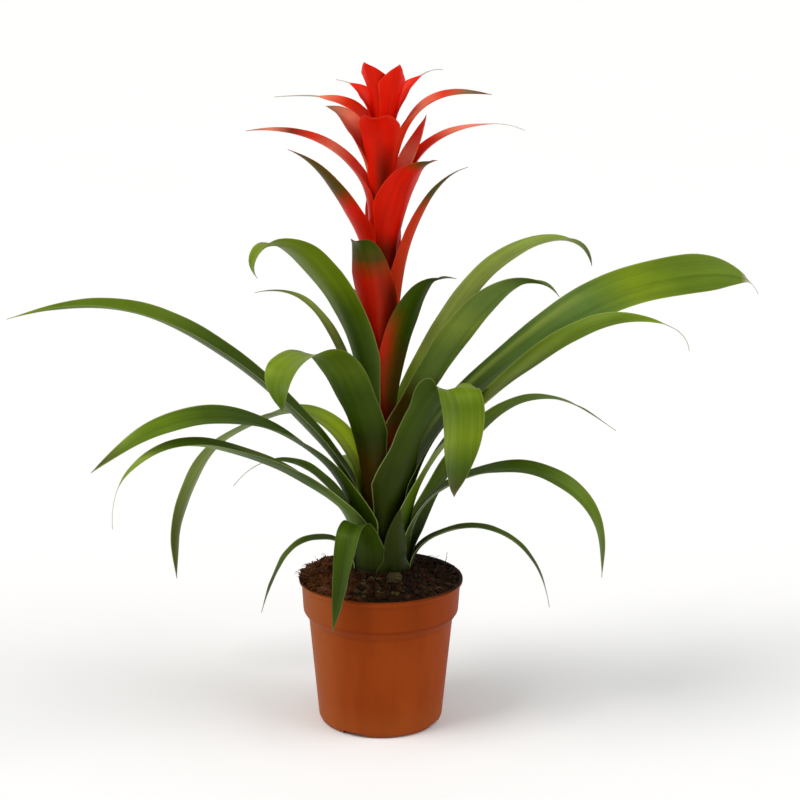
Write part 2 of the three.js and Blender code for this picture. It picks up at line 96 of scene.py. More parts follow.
LEAVES = {
    "leaf_left_long": Blade(
        az=183, seat=6, length=345, width=29, roll=-8, cup=38, taper=0.5, crease=0.16,
        climb=(88, 81, 60, 51, 47, 42, 36, 32, 24, 10, -2, -10, -18), tint="kkddddgggy",
    ),
    "leaf_left_crest": Blade(
        az=215, seat=0, length=280, width=36, roll=14, cup=22, taper=0.78,
        streak=("d", 0.1, 0.5, 0.08, 0.62),
        climb=(89, 88, 88, 87, 86, 84, 79, 76, 72, 66, 58, 51, 46, 30, 6, -60, -140),
        tint="nksssssgyyyyg",
    ),
    "leaf_left_slim": Blade(
        az=160, seat=2, length=220, width=18, cup=26, taper=0.45,
        climb=(88, 87, 85, 83, 81, 77, 71, 62, 52, 30, 0, -18), tint="kddggglllgt",
    ),
    "leaf_front_left_curl": Blade(
        az=231, seat=3, length=235, width=40, roll=8, cup=20, taper=0.74,
        climb=(90, 88, 84, 79, 74, 66, 61, 55, 30, 0, -22, -90, -118), edging=0.6, tint="nnnnkddggyygd",
    ),
    "leaf_left_broad": Blade(
        az=213, seat=7, length=276, width=28, roll=-22, drift=-16, cup=22, taper=0.5,
        climb=(88, 78, 63, 51, 41, 33, 26, 15, 2, -11, -22, -33, -40), tint="kddddddggt",
    ),
    "leaf_left_low": Blade(
        az=211, seat=9, length=276, width=27, roll=-8, cup=32, taper=0.15, tail=0.1,
        crease=0.2, streak=("l", -0.75, 0.3, 0.12, 0.5),
        climb=(90, 75, 46, 39, 34, 27, 23, 19, 6, -16, -38, -76, -94),
        tint="kssdddgglgd", under="kssdddsslsd",
    ),
    # the lime band and the yellow near its foot are painted light shining through the leaf
    "leaf_back_left_arch": Blade(
        az=148, seat=5, length=334, width=26, roll=-4, cup=26, taper=0.6,
        streak=("i", 0.2, 1.2, 0.06, 0.26),
        climb=(89, 88, 77, 48, 23, -4, -24, -28, -34, -48, -60, -66, -76, -88, -94),
        tint="kyyyggggggd", under="kyyyggsllllly",
    ),
    "leaf_back_left_short": Blade(
        az=165, seat=8, length=142, width=16, roll=-10, cup=26, taper=0.3, tail=0.2,
        climb=(86, 80, 70, 48, 42, 34, 12, -10, -28, -44, -54), tint="kdggddt",
    ),
    "leaf_low_left": Blade(
        az=192, seat=11, length=112, width=12, cup=30, taper=0.4,
        climb=(88, 62, 14, -8, -38, -60, -66, -70, -76), tint="kddgdd",
    ),
    "leaf_front_fold": Blade(
        az=247, seat=10, length=134, width=19, roll=6, cup=26, taper=0.4,
        climb=(90, 88, 66, 44, 34, -14, -62, -70, -70, -68, -66, -64, -64), edging=0.35,
        tint="kdddddddd",
    ),
    "leaf_low_right": Blade(
        az=-2, seat=11, length=150, width=12, roll=4, cup=30, taper=0.4,
        climb=(86, 50, 25, 15, -3, -21, -36, -52, -64, -74, -82), tint="kddgdd",
    ),
    "leaf_right_arch": Blade(
        az=-7, seat=9, length=236, width=20, roll=26, cup=24, taper=0.5,
        climb=(88, 78, 58, 36, 25, 14, 0, -20, -32, -52, -74, -87, -93), tint="kddddggg",
    ),
    "leaf_right_slim": Blade(
        az=34, seat=10, length=258, width=18, wrap=24, cup=24, taper=0.35,
        climb=(74, 59, 58, 52, 45, 36, 24, 8, -6, -20, -31, -34, -36), tint="kgggggt",
    ),
    "leaf_front_right_fold": Blade(
        az=-57, seat=4, length=238, width=40, roll=-6, cup=34, taper=0.74,
        climb=(87, 82, 75, 69, 64, 60, 57, 54, 51, 50, 34, -54, -90, -95, -96, -96, -96),
        pinch=0.26, ears=(0.655, 3, -8), edging=0.7, tint="kdgggglygydt", under="kkddd",
    ),
    # its dark band is painted shadow along one edge
    "leaf_right_crest": Blade(
        az=32, seat=1, length=316, width=28, cup=26, taper=0.7, streak=("d", -0.7, 0.35, 0.15, 0.6),
        climb=(89, 88, 86, 79, 67, 59, 57, 54, 50, 43, 33, 20, 9, -5, -36, -82),
        tint="mmngylllllyd", under="mmkdylllllyd",
    ),
    "leaf_right_broad": Blade(
        az=-35, seat=2, length=268, width=40, roll=-16, cup=28, taper=0.6,
        climb=(88, 87, 85, 80, 69, 60, 58, 57, 55, 52, 48, 42, 24, -4, -52),
        tint="mmnnggggdd", under="mmmmnnsslssdt",
    ),
    # its light band is a painted highlight
    "leaf_right_great": Blade(
        az=13, seat=7, length=378, width=38, roll=36, cup=20, taper=0.87, tail=0.03,
        streak=("l", 0.6, 0.14, 0.22, 0.62),
        climb=(88, 85, 77, 69, 59, 49, 41, 37, 36, 34, 32, 28, 21, 13, 9, 5, -2, -18, -72),
        tint="kddddbbbyggg",
    ),
    # its yellow letters and light band are a painted highlight along the middle
    "leaf_right_second": Blade(
        az=-10, seat=8, length=311, width=30, roll=26, cup=24, taper=0.45, tail=0.08,
        streak=("l", 0.2, 0.35, 0.2, 0.62),
        climb=(87, 84, 74, 64, 56, 50, 47, 45, 41, 38, 34, 27, 9, -6, -28, -90), tint="kdgyyyggggyd",
    ),
    "leaf_front_scale": Blade(
        az=298, seat=11, length=52, width=20, cup=34, taper=0.2,
        climb=(89, 87, 84, 80, 74), edging=0.2, tint="kkkk",
    ),
    "leaf_back_upright": Blade(
        az=92, seat=4, length=215, width=26, cup=34, taper=0.5,
        climb=(89, 88, 84, 75, 66, 57, 42, 20, -10, -36, -62), tint="kdggggll",
    ),
    "leaf_back_low_right": Blade(
        az=84, seat=11, length=126, width=20, wrap=26, cup=34, taper=0.45,
        climb=(86, 62, 44, 32, 20, 4, -16, -38), tint="kddggg",
    ),
    "leaf_back_low_left": Blade(
        az=110, seat=10, length=120, width=19, cup=34, taper=0.45,
        climb=(86, 64, 48, 36, 22, 6, -14, -36), tint="kddggg",
    ),
}

BRACTS = {
    "bract_01_right_low": Blade(
        az=311, seat=168, length=210, width=32, cup=34, taper=0.5, streak=("r", -0.9, 0.42, 0, 0.66),
        climb=(88, 88, 87, 84, 80, 76, 71, 62, 50, 18, 0), tint="rrrmmvvvddddkt",
    ),
    "bract_02_back_low": Blade(
        az=120, seat=178, length=155, width=26, cup=34, taper=0.5,
        climb=(88, 88, 87, 86, 85, 82, 78, 68, 56, 42, 28), tint="mmvvddkw",
    ),
    # its maroon band is painted shade on one side
    "bract_03_front_low": Blade(
        az=251, seat=188, length=206, width=36, cup=36, taper=0.6, streak=("m", 0.8, 0.5, 0.1, 0.75),
        climb=(88, 88, 88, 87, 87, 86, 85, 82, 77, 73, 69, 64, 50, 16, 0), tint="vvmrrrrrrvdt",
    ),
    "bract_04_back_mid": Blade(
        az=84, seat=210, length=145, width=26, cup=34, taper=0.5,
        climb=(88, 88, 87, 86, 82, 74, 62, 46, 30), tint="vvmrrrmdt",
    ),
    "bract_05_right_mid": Blade(
        az=-12, seat=235, length=198, width=27, roll=-8, cup=34, taper=0.4,
        climb=(87, 86, 85, 85, 84, 82, 75, 67, 60, 44, 14), tint="rrrooooooovvt",
    ),
    "bract_06_left_mid": Blade(
        az=200, seat=248, length=203, width=30, wrap=48, roll=16, cup=32, taper=0.45,
        climb=(87, 87, 87, 87, 86, 80, 66, 57, 53, 40, 20), tint="rrrrooorrrvvvt",
    ),
    "bract_07_back_high": Blade(
        az=75, seat=262, length=135, width=24, cup=34, taper=0.5,
        climb=(86, 86, 86, 85, 82, 74, 62, 48, 34), tint="rrrroovt",
    ),
    # its maroon foot is painted shade where the bracts overlap
    "bract_08_front_right": Blade(
        az=310, seat=280, length=167, width=42, cup=40, taper=0.55,
        climb=(89, 89, 87, 85, 83, 80, 76, 72, 62, 41, 25, 12), tint="mmmmmmmrrrrrvt",
    ),
    "bract_09_left_spread": Blade(
        az=177, seat=306, length=193, width=24, roll=-10, cup=34, taper=0.4,
        climb=(87, 86, 86, 87, 88, 87, 73, 54, 41, 29, 17, 8, 0, -11), tint="rrrrrroopompt",
    ),
    "bract_10_right_spread": Blade(
        az=15, seat=316, length=193, width=22, roll=8, cup=34, taper=0.35, tail=0.12,
        climb=(84, 84, 83, 82, 81, 79, 72, 54, 35, 22, 10, 3, -12, -28), tint="rrrrrrroppww",
    ),
    "bract_11_back_spread": Blade(
        az=98, seat=296, length=125, width=24, cup=34, taper=0.5,
        climb=(85, 85, 85, 84, 80, 70, 56, 42, 30), tint="rrrrrrot",
    ),
    # its maroon lower half and maroon band are painted shade in the hollow by bract_08's edge
    "bract_12_front_cup": Blade(
        az=262, seat=334, length=136, width=40, wrap=53, cup=40, taper=0.62,
        streak=("m", 0.3, 0.6, 0, 0.68),
        climb=(87, 86, 86, 85, 84, 84, 83, 82, 76, 50, 16, 4), tint="mmmmmmrrrrrro",
    ),
    # its bright orange and salmon are painted light shining through the bract
    "bract_13_right_upright": Blade(
        az=20, seat=350, length=104, width=30, cup=40, taper=0.55,
        climb=(85, 82, 79, 76, 70, 66, 66, 72, 78), tint="oopoopoo",
    ),
    # its orange and salmon are painted light shining through the bract
    "bract_14_left_cup": Blade(
        az=157, seat=356, length=114, width=32, roll=-16, cup=34, taper=0.5,
        climb=(86, 86, 85, 83, 78, 68, 54, 36, 4), tint="roopopw",
    ),
    "bract_15_back_cup": Blade(
        az=89, seat=372, length=100, width=22, wrap=40, cup=34, taper=0.5,
        climb=(87, 86, 85, 83, 76, 62, 46, 24), tint="rrrrrro",
    ),
    "bract_16_right_wing": Blade(
        az=-11, seat=376, length=137, width=26, roll=16, cup=34, taper=0.2,
        climb=(86, 84, 81, 77, 68, 52, 32, 12, 0, -8), tint="rrroopowt",
    ),
    "bract_17_left_wing": Blade(
        az=180, seat=384, length=132, width=26, roll=-24, cup=34, taper=0.35, tail=0.22,
        climb=(88, 88, 87, 85, 76, 48, 26, 14, 2, -3, -6), tint="rrrroopww",
    ),
    "bract_18_back_wing": Blade(
        az=84, seat=392, length=88, width=20, wrap=36, cup=34, taper=0.5,
        climb=(88, 87, 85, 79, 68, 50, 32, 12), tint="rrrrrro",
    ),
    "bract_19_right_small": Blade(
        az=22, seat=400, length=102, width=28, wrap=46, roll=22, cup=36, taper=0.3, tail=0.16,
        climb=(87, 86, 85, 82, 76, 60, 38, 22, -14), tint="rrrrrrrrm",
    ),
    "bract_20_left_small": Blade(
        az=158, seat=406, length=84, width=30, roll=-22, cup=36, taper=0.3, tail=0.12,
        climb=(86, 86, 86, 84, 75, 48, 18, 2), tint="rrrrrrrrm",
    ),
    "bract_21_crown_right": Blade(
        az=-44, seat=414, length=74, width=31, wrap=58, roll=-16, cup=44, taper=0.6,
        climb=(86, 84, 82, 80, 76, 69), tint="rrrrrr",
    ),
    "bract_22_crown_left": Blade(
        az=220, seat=420, length=70, width=31, wrap=62, roll=16, cup=44, taper=0.6,
        climb=(88, 87, 86, 79, 70, 60), tint="rrrrrrr",
    ),
    "bract_23_crown_back": Blade(
        az=92, seat=420, length=46, width=18, wrap=40, cup=44, taper=0.45,
        climb=(90, 89, 88, 84, 78), tint="rrrrrr",
    ),
}

LOW_BRACTS = 5  # the lowest bracts, still partly green

# The cone that the leaves sit on, with how much broader and lower it is at each place further out, and
# the flower stem above it.
SEAT = SimpleNamespace(radius=8.2, z=152, widen=1.4, drop=3)
STEM = SimpleNamespace(
    foot_z=100, foot_radius=12, foot_height=8, neck=8, radius=5.4, top_radius=3, top_z=446,
)
LEAF_CLEAR = 0.85  # how far inside the leaves' seats the cone lies
BRACT_CLEAR = 0.75  # how far outside the flower stem the bracts' seats lie

# The pot below its lip: outer radii and the heights where they are reached, then the underside.
POT = SimpleNamespace(
    foot=46, corner_z=4, shoulder=53, shoulder_z=78, collar=57.4, collar_z=87, collar_top=58.6,
    lip_height=2.6, floor_z=3, ring=39, hub=13,
)
# The drainage holes and the foot's notches, with the radius at which each ring of them stands.
DRAIN = SimpleNamespace(count=6, ring=27)
NOTCH = SimpleNamespace(count=4, ring=45.5, turn=64, length=30, width=17, height=3)

GAP = 0.3  # what touching pieces keep between them

# The soil's surface: the radii between which it slopes up to the mound and is calm under the plant, how
# high it is lumpy, rough and heaped, the places to the left and out where the heap rises, and the radius
# at which the surface ends against the cone.
SOIL = SimpleNamespace(
    slope_foot=57, mound=24.5, calm=(22, 31), lump=1.3, rough=1.1, heap=2.6, heap_left=(18, 50),
    heap_out=(26, 50), inmost=24,
)
# What lies on the soil: the rings where crumbs lie on the bed, against the leaves and on the lip, their
# sizes, the lump of moss at the front (x, y and radius), the ring and sizes of its specks and the patch
# that they keep to.
BED_RING, BANK_RING, LIP_RING = (20, 55.5), (22.5, 27), (54, 60.5)
CRUMB_SIZES = (0.5, 0.7, 0.9, 1.2, 1.6, 2.2)
MOSS = SimpleNamespace(
    lump=(10, -32, 5.6), ring=(27, 50), sizes=(1.1, 2.4), tries=90, left=-26, right=18, nearest=-26,
)
# The fibres on the bed, then those that stick out over the rim, with the arcs of it where they do and
# how many, and the points and radius of the one that stands.
BED_FIBRES = SimpleNamespace(
    ring=(22, 54), farthest=55, lengths=(5, 16), rises=(0, 0, 0.5, 1.5), radii=(0.1, 0.24),
)
RIM_FIBRES = SimpleNamespace(
    out=51, z=111.5, lengths=(5, 14), radii=(0.15, 0.32), arcs=(((140, 235), 34), ((-60, 120), 12)),
)
STANDING_FIBRE = ([(46, 10, 110), (47, 10, 116), (48.5, 9.5, 121), (49, 9, 126)], 0.35)

# The camera: where it stands in metres, its turn in degrees and its lens.
CAMERA = SimpleNamespace(place=(0.014, -1.513, 0.631), turn=(75.67, -0.3, 0.1), lens=97.1)


@dataclass(frozen=True)
class Kind:
    """How a kind of blade is drawn: facets across and along, thicknesses, width of the tip, how much
    broader its foot is, how far round the stem it wraps (degrees each side) and how lively its edges are."""

    across: int
    along: int
    thick: float
    tip_thick: float
    tip_width: float
    foot: float
    wrap: float
    wave: float


LEAF = Kind(across=18, along=90, thick=0.7, tip_thick=0.45, tip_width=0.5, foot=0.5, wrap=52, wave=0.7)
BRACT = Kind(across=14, along=55, thick=0.6, tip_thick=0.4, tip_width=0.45, foot=0, wrap=62, wave=0.35)

# What all blades share. A span is two shares of the length, where something starts and where it is full.
ROLL_SPAN = (0.25, 0.75)
FOOT_SPAN = (0.03, 0.22)
FREE_SPAN = (0.12, 0.35)  # where a blade comes clear of the others, so that its edges can wave
PINCH_SPAN = (0.2, 0.36)
UNPINCH_SPAN = (0.5, 0.64)
FLAT_HALF = 6  # the half width below which the channel flattens out
ARCH_POWER = 2.2  # how full the pointed arch of the tip is
THREAD_HALF = 1.1  # what half the width of a dry thread thins from on its way to the tip
THIN_EDGE = 0.22  # the edge's share of the thickness
KEEL_WIDTH = 0.35  # of the crease along the midrib, as a share of the half width
EAR_LENGTH = 0.028  # how far along a blade the corners at its sharp fold reach
# Below these heights the blades are darkened towards their feet: partly grime, partly painted shade.
GRIME_AND_PAINTED_SHADE = (112, 170)  # the heights over which the blades come out of grime and shade


# ---- Settings ----

def shade_of(name, description, red, green, blue):
    """A colour setting, given as the 0 to 255 values that a colour picker shows."""
    return bpy.props.FloatVectorProperty(
        name=name, description=description, size=3, subtype="COLOR_GAMMA", min=0, max=1,
        default=(red / 255, green / 255, blue / 255),
    )


def length_of(name, description, metres, least=0):
    """A size setting in metres."""
    return bpy.props.FloatProperty(
        name=name, description=description, default=metres, min=least, unit="LENGTH",
    )


def share_of(name, description, share):
    """A setting from 0 to 1."""
    return bpy.props.FloatProperty(
        name=name, description=description, default=share, min=0, max=1, subtype="FACTOR",
    )


def strength_of(name, description, strength):
    """A light's strength."""
    return bpy.props.FloatProperty(name=name, description=description, default=strength, min=0)


def count_of(name, description, count):
    """How many there are of something."""
    return bpy.props.IntProperty(name=name, description=description, default=count, min=0)


class BromeliadPigments(bpy.types.PropertyGroup):
    core: shade_of("Core olive", "Shaded green at the foot of the leaves", 42, 54, 6)
    bronze: shade_of("Bronze", "Reddish brown at the foot of the inner leaves", 72, 50, 10)
    deep: shade_of("Deep green", "Darkest living green of a leaf", 60, 84, 8)
    green: shade_of("Green", "Usual green of a leaf", 88, 112, 18)
    yellow: shade_of("Yellow-green", "Sunlit yellowish green", 114, 136, 20)
    # light green also paints the highlight bands on some leaves
    light: shade_of("Light green", "Paler green towards a tip", 130, 150, 60)
    blue: shade_of("Blue-green", "Cool green of the right-hand leaves", 82, 112, 44)
    soft: shade_of("Soft green", "Dusty green of some undersides", 104, 128, 54)
    lime: shade_of("Lime", "Bright yellow-green where light shines through a leaf", 172, 192, 14)
    withered: shade_of("Withered", "Grey-brown where a tip dries out", 112, 98, 62)
    red: shade_of("Red", "Full red of a bract", 230, 22, 0)
    # orange and salmon also paint light shining through some bracts
    orange: shade_of("Orange-red", "Lighter red near a bract's edge", 228, 48, 10)
    salmon: shade_of("Salmon", "Pale orange of a fading bract", 236, 130, 100)
    # maroon also paints the shade at the foot of some red bracts
    maroon_and_painted_shade: shade_of("Maroon", "Dark red where a bract turns green", 120, 25, 10)
    olive: shade_of("Olive-brown", "Brownish green of a low bract", 88, 72, 22)
    tip: shade_of("Dark tip", "Brown-green tip of a bract", 60, 45, 25)
    straw: shade_of("Straw", "Dry thread at the end of a blade", 222, 215, 196)


PIGMENT_LETTERS = dict(
    k="core", n="bronze", d="deep", g="green", y="yellow", l="light", b="blue", s="soft", i="lime",
    w="withered", r="red", o="orange", p="salmon", m="maroon_and_painted_shade", v="olive", t="tip",
)


class BromeliadBlades(bpy.types.PropertyGroup):
    vein_spacing: length_of("Vein spacing", "Distance between the fine veins", 0.0009, least=0.0002)
    vein_depth: share_of("Vein depth", "How much the veins darken and ridge a blade", 0.5)
    # the pale edge is partly painted rim light
    edge_width: length_of("Pale edge", "Width of the paler line along a blade's edge", 0.0006)
    gloss: share_of("Roughness", "Roughness of a blade's waxy skin", 0.4)


class BromeliadPot(bpy.types.PropertyGroup):
    height: length_of("Height", "Height of the pot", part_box("pot")[1].z)
    lip_radius: length_of("Lip radius", "Outer radius of the lip", 0.0605)
    wall: length_of("Wall", "Thickness of the moulded wall", 0.0012)
    drain_radius: length_of("Drainage hole", "Radius of a drainage hole", 0.0045)
    plastic: shade_of("Plastic", "Terracotta orange of the pot", 152, 64, 18)
    # the paler orange also paints the light on the pot's left side
    wear_and_painted_light: shade_of("Worn plastic", "Paler orange of rubbed edges and dust", 168, 94, 44)


class BromeliadSoil(bpy.types.PropertyGroup):
    edge_z: length_of("Edge height", "Height of the soil at the pot's wall", 0.1085)
    mound_z: length_of("Mound height", "Height of the soil under the plant", 0.1185)
    crumbs: count_of("Crumbs", "How many loose crumbs lie on the soil", 900)
    banked: count_of("Banked crumbs", "How many crumbs lie against the foot of the leaves", 170)
    spilt: count_of("Spilt crumbs", "How many crumbs lie on the pot's lip", 420)
    fibres: count_of("Fibres", "How many peat fibres lie on the soil", 260)
    dark: shade_of("Wet peat", "Darkest brown of the soil", 26, 16, 6)
    light: shade_of("Dry peat", "Reddish brown of dry soil", 102, 56, 26)
    fibre: shade_of("Fibre", "Pale brown of the fibres", 150, 108, 74)
    moss: shade_of("Moss", "Grey-green of the lump at the front", 86, 76, 46)


class BromeliadStudio(bpy.types.PropertyGroup):
    sky: strength_of("Sky", "Strength of the even white surroundings", 0.38)
    key: strength_of("Key light", "Strength of the main light", 1.45)
    fill: strength_of("Fill light", "Strength of the light from the right", 0.85)
    side: strength_of("Side lights", "Strength of the low lights on both sides", 0.65)
    floor: shade_of("Floor", "Pale studio floor", 250, 250, 250)


class BromeliadSettings(bpy.types.PropertyGroup):
    pigments: bpy.props.PointerProperty(type=BromeliadPigments)
    blades: bpy.props.PointerProperty(type=BromeliadBlades)
    pot: bpy.props.PointerProperty(type=BromeliadPot)
    soil: bpy.props.PointerProperty(type=BromeliadSoil)
    studio: bpy.props.PointerProperty(type=BromeliadStudio)


def linear(colour):
    """A picked colour as the linear light that meshes and shaders hold."""
    return [c / 12.92 if c <= 0.04045 else ((c + 0.055) / 1.055) ** 2.4 for c in colour]


def darker(colour, share):
    """A linear colour at a share of its light."""
    return [c * share for c in colour]


# ---- Materials ----

class Wire:
    """One number of a material. Python's operators work on it, and each adds the Math node that does it."""

    def __init__(self, paint, socket):
        self.paint = paint
        self.socket = socket

    def __add__(self, other):
        return self.paint.maths("ADD", self, other)

    def __sub__(self, other):
        return self.paint.maths("SUBTRACT", self, other)

    def __rsub__(self, other):
        return self.paint.maths("SUBTRACT", other, self)

    def __mul__(self, other):
        return self.paint.maths("MULTIPLY", self, other)

    def __truediv__(self, other):
        return self.paint.maths("DIVIDE", self, other)

    __radd__ = __add__

    def between(self, low, high):
        """0 below low, 1 above high and a smooth step from one to the other. low may be the greater."""
        if low > high:
            return 1 - self.between(high, low)
        return self.paint.node(
            "ShaderNodeMapRange", {"interpolation_type": "SMOOTHSTEP"},
            {"Value": self, "From Min": low, "From Max": high}, "Result",
        )


class Paint:
    """A material as it is built."""

    def __init__(self, name):
        self.material = bpy.data.materials.new(name)
        self.material.use_nodes = True
        self.tree = self.material.node_tree
        self.tree.nodes.clear()

    def node(self, kind, settings, values, output):
        """Adds a node: its settings first, then the values or wires of its sockets. Gives one output."""
        node = self.tree.nodes.new(kind)
        for key, value in settings.items():
            setattr(node, key, value)
        for key, value in values.items():
            socket = node.inputs[key]
            if isinstance(value, Wire):
                self.tree.links.new(value.socket, socket)
            elif hasattr(value, "__len__") and socket.type == "RGBA":
                socket.default_value = [*value][:3] + [1]
            else:
                socket.default_value = value
        return Wire(self, node.outputs[output])

    def maths(self, operation, a, b):
        return self.node("ShaderNodeMath", {"operation": operation}, {0: a, 1: b}, "Value")

    def mix(self, share, a, b):
        """Two colours mixed by a share."""
        return self.node("ShaderNodeMix", {"data_type": "RGBA"}, {0: share, 6: a, 7: b}, 2)

    def noise(self, source, scale, detail=2, rough=0.5):
        """Noise on a vector that is scaled first, so that its grain can be long and thin. One scale does
        for all three ways."""
        scale = scale if hasattr(scale, "__len__") else (scale,) * 3
        vector = self.node("ShaderNodeMapping", {}, {"Vector": source, "Scale": scale}, "Vector")
        values = {"Vector": vector, "Scale": 1, "Detail": detail, "Roughness": rough}
        return self.node("ShaderNodeTexNoise", {}, values, "Fac")

    def attribute(self, name, output="Fac"):
        return self.node("ShaderNodeAttribute", {"attribute_name": name}, {}, output)

    def place(self):
        """Where a point is on the plant, in metres."""
        return self.node("ShaderNodeTexCoord", {}, {}, "Object")

    def along(self, axis):
        """How far a point is along X, Y or Z, in metres."""
        return self.node("ShaderNodeSeparateXYZ", {}, {0: self.place()}, axis)

    def bump(self, height, distance, strength):
        values = {"Height": height, "Distance": distance, "Strength": strength}
        return self.node("ShaderNodeBump", {}, values, "Normal")

    def finish(self, values):
        """Ends the material in one Principled shader with these sockets."""
        shader = self.node("ShaderNodeBsdfPrincipled", {}, values, "BSDF")
        end = self.tree.nodes.new("ShaderNodeOutputMaterial")
        self.tree.links.new(shader.socket, end.inputs["Surface"])
        return self.material


def skin_material(name, settings, edge, edge_share, underside_shade, sheen, streaky):
    """The waxy skin of a blade. Its colour comes from the blade's own tint, and the fine veins, broad
    streaks, mottling, pale edge, painted shade on the underside and dry tip are laid over it. The
    pale edge is partly the blade's paler margin and partly painted rim light. sheen is the colour
    of its highlights, and streaky is how strong the streaks are."""
    paint = Paint(name)
    blades = settings.blades
    place = paint.node("ShaderNodeUVMap", {"uv_map": "blade"}, {}, "UV")
    rim = paint.attribute("rim")
    middle = paint.attribute("middle")
    under = paint.attribute("under")
    dry = paint.attribute("dry")
    edging = paint.attribute("edging")
    fine = 1 / blades.vein_spacing
    veins = paint.noise(place, (fine, 9, 1), detail=3, rough=0.6)
    streaks = paint.noise(place, (fine * 0.22, 5, 1))
    mottling = paint.noise(place, (70, 45, 1), detail=4, rough=0.6)
    depth = blades.vein_depth
    light = 1 + (veins - 0.5) * (0.75 * depth) + (streaks - 0.5) * (streaky * depth)
    light = light + (mottling - 0.5) * 0.45 - middle * 0.07
    tint = paint.attribute("tint", "Color")
    toned = paint.node(
        "ShaderNodeVectorMath", {"operation": "SCALE"}, {0: tint, "Scale": light}, "Vector",
    )
    # painted shade: the underside is darkened to the given share of its light
    shaded_underside = paint.node(
        "ShaderNodeHueSaturation", {}, {"Saturation": 1.04, "Value": underside_shade, "Color": toned}, "Color",
    )
    skin = paint.mix(under, toned, shaded_underside)
    # The pale line along the edge is partly the blade's paler margin and partly painted rim light.
    line = (rim / blades.edge_width).between(1.8, 0.3) * (0.5 + streaks) * edging * edge_share
    skin = paint.mix(line, skin, linear(edge))
    straw = linear(settings.pigments.straw)
    burnt = linear(settings.pigments.withered)
    dead = paint.mix(veins.between(0.35, 0.7), burnt, straw)
    skin = paint.mix(dry.between(0.15, 0.8), skin, dead)
    relief = veins * 0.6 + streaks * 0.5 - middle * 1.2
    return paint.finish({
        "Base Color": skin,
        "Roughness": blades.gloss + (mottling - 0.5) * 0.16 + (veins - 0.5) * 0.1 + under * 0.1 + dry * 0.3,
        "Normal": paint.bump(relief, 0.00022 * depth * 2, 0.55),
        "Specular IOR Level": 0.3,
        "Specular Tint": (*sheen, 1),
    })


def plastic_material(settings):
    """Moulded terracotta plastic: satin, faintly grained, dusty at the foot and rubbed on the edges,
    with painted shade under the collar, painted light on its left side and a lip darkened towards the
    soil's colour.
    """
    paint = Paint("pot plastic")
    place = paint.place()
    cloud = paint.noise(place, (22, 22, 16), detail=4, rough=0.55)
    flow = paint.noise(place, (60, 60, 7), detail=3)
    grain = paint.noise(place, 1500)
    fine = paint.noise(place, (420, 420, 300), detail=3, rough=0.6)
    scuffs = paint.noise(place, (90, 90, 260), detail=5, rough=0.7).between(0.62, 0.78)
    height = paint.along("Z")
    top, edge, shoulder = settings.pot.height, POT.collar_z * MM, POT.shoulder_z * MM
    lip = height.between(top - 0.0012, top - 0.0001)
    # Painted shade: the step under the collar and a dark line at the collar's foot.
    shade_on_collar_step = height.between(shoulder - 0.001, shoulder + 0.0015)
    shade_on_collar_step = shade_on_collar_step * height.between(edge + 0.0002, edge - 0.0015)
    shadow_at_collar_foot = height.between(edge - 0.0035, edge - 0.0015) * height.between(edge + 0.0006, edge - 0.0004)
    collar = height.between(edge - 0.0008, edge + 0.0006)
    dust = height.between(0.03, 0.0) * (0.25 + cloud * 0.6) + cloud.between(0.52, 0.75) * 0.22
    base = linear(settings.pot.plastic)
    wear_and_painted_light = linear(settings.pot.wear_and_painted_light)
    skin = paint.mix(flow.between(0.3, 0.72), darker(base, 0.8), base)
    skin = paint.mix(dust * 0.5 + scuffs * 0.12, skin, wear_and_painted_light)
    # deep is the colour of the painted shade on the step and at the collar's foot; the collar is also a
    # little darker all over.
    deep = [channel * share for channel, share in zip(base, (0.55, 0.42, 0.3))]
    skin = paint.mix(shade_on_collar_step * 0.3 + shadow_at_collar_foot * 0.4 + collar * 0.25, skin, deep)
    # Painted light: the left side of the pot is lightened towards the paler orange.
    left = paint.along("X").between(-0.02, -0.052)
    skin = paint.mix(left * (0.3 + cloud * 0.4), skin, wear_and_painted_light)
    # The lip is darkened towards the soil's colour, less at the front.
    front = paint.along("Y").between(-0.02, -0.058)
    darkened_lip = lip * (1.15 - front * 0.75 - cloud * 0.25)
    skin = paint.mix(darkened_lip, skin, linear(settings.soil.dark))
    return paint.finish({
        "Base Color": skin,
        "Roughness": 0.5 + (cloud - 0.5) * 0.2 + (fine - 0.5) * 0.12 + scuffs * 0.1,
        "Normal": paint.bump(fine * 0.5 + grain * 0.3, 0.00012, 0.35),
        "Specular IOR Level": 0.06,
        "Specular Tint": (1, 0.62, 0.35, 1),
    })


def peat_material(name, dark, light, side_difference):
    """Peat: dark and damp in the hollows, reddish and dry on the high spots, and lighter towards the left.
    Its last argument is how much the two sides differ."""
    paint = Paint(name)
    place = paint.place()
    clods = paint.noise(place, 190, detail=6, rough=0.65)
    grit = paint.noise(place, 900, detail=4, rough=0.7)
    side = paint.along("X")
    # lighter towards the left, and darker and glossier towards the right
    toward_right = side.between(-0.055, 0.03) * side_difference
    share = clods.between(0.38, 0.68) * (0.35 + grit * 1.1) * (1 - toward_right * 0.75)
    share = share + side.between(-0.012, -0.045) * (0.1 + grit * 0.5) * side_difference
    skin = paint.mix(share, linear(dark), linear(light))
    pale = [min(1, channel * 1.9) for channel in linear(light)]
    skin = paint.mix(grit.between(0.66, 0.78) * (1 - toward_right * 0.6) * 0.7, skin, pale)
    return paint.finish({
        "Base Color": skin,
        "Roughness": 0.95 - toward_right * 0.2,
        "Normal": paint.bump(clods + grit * 0.5, 0.0016, 0.9),
        "Specular IOR Level": 0.1,
    })


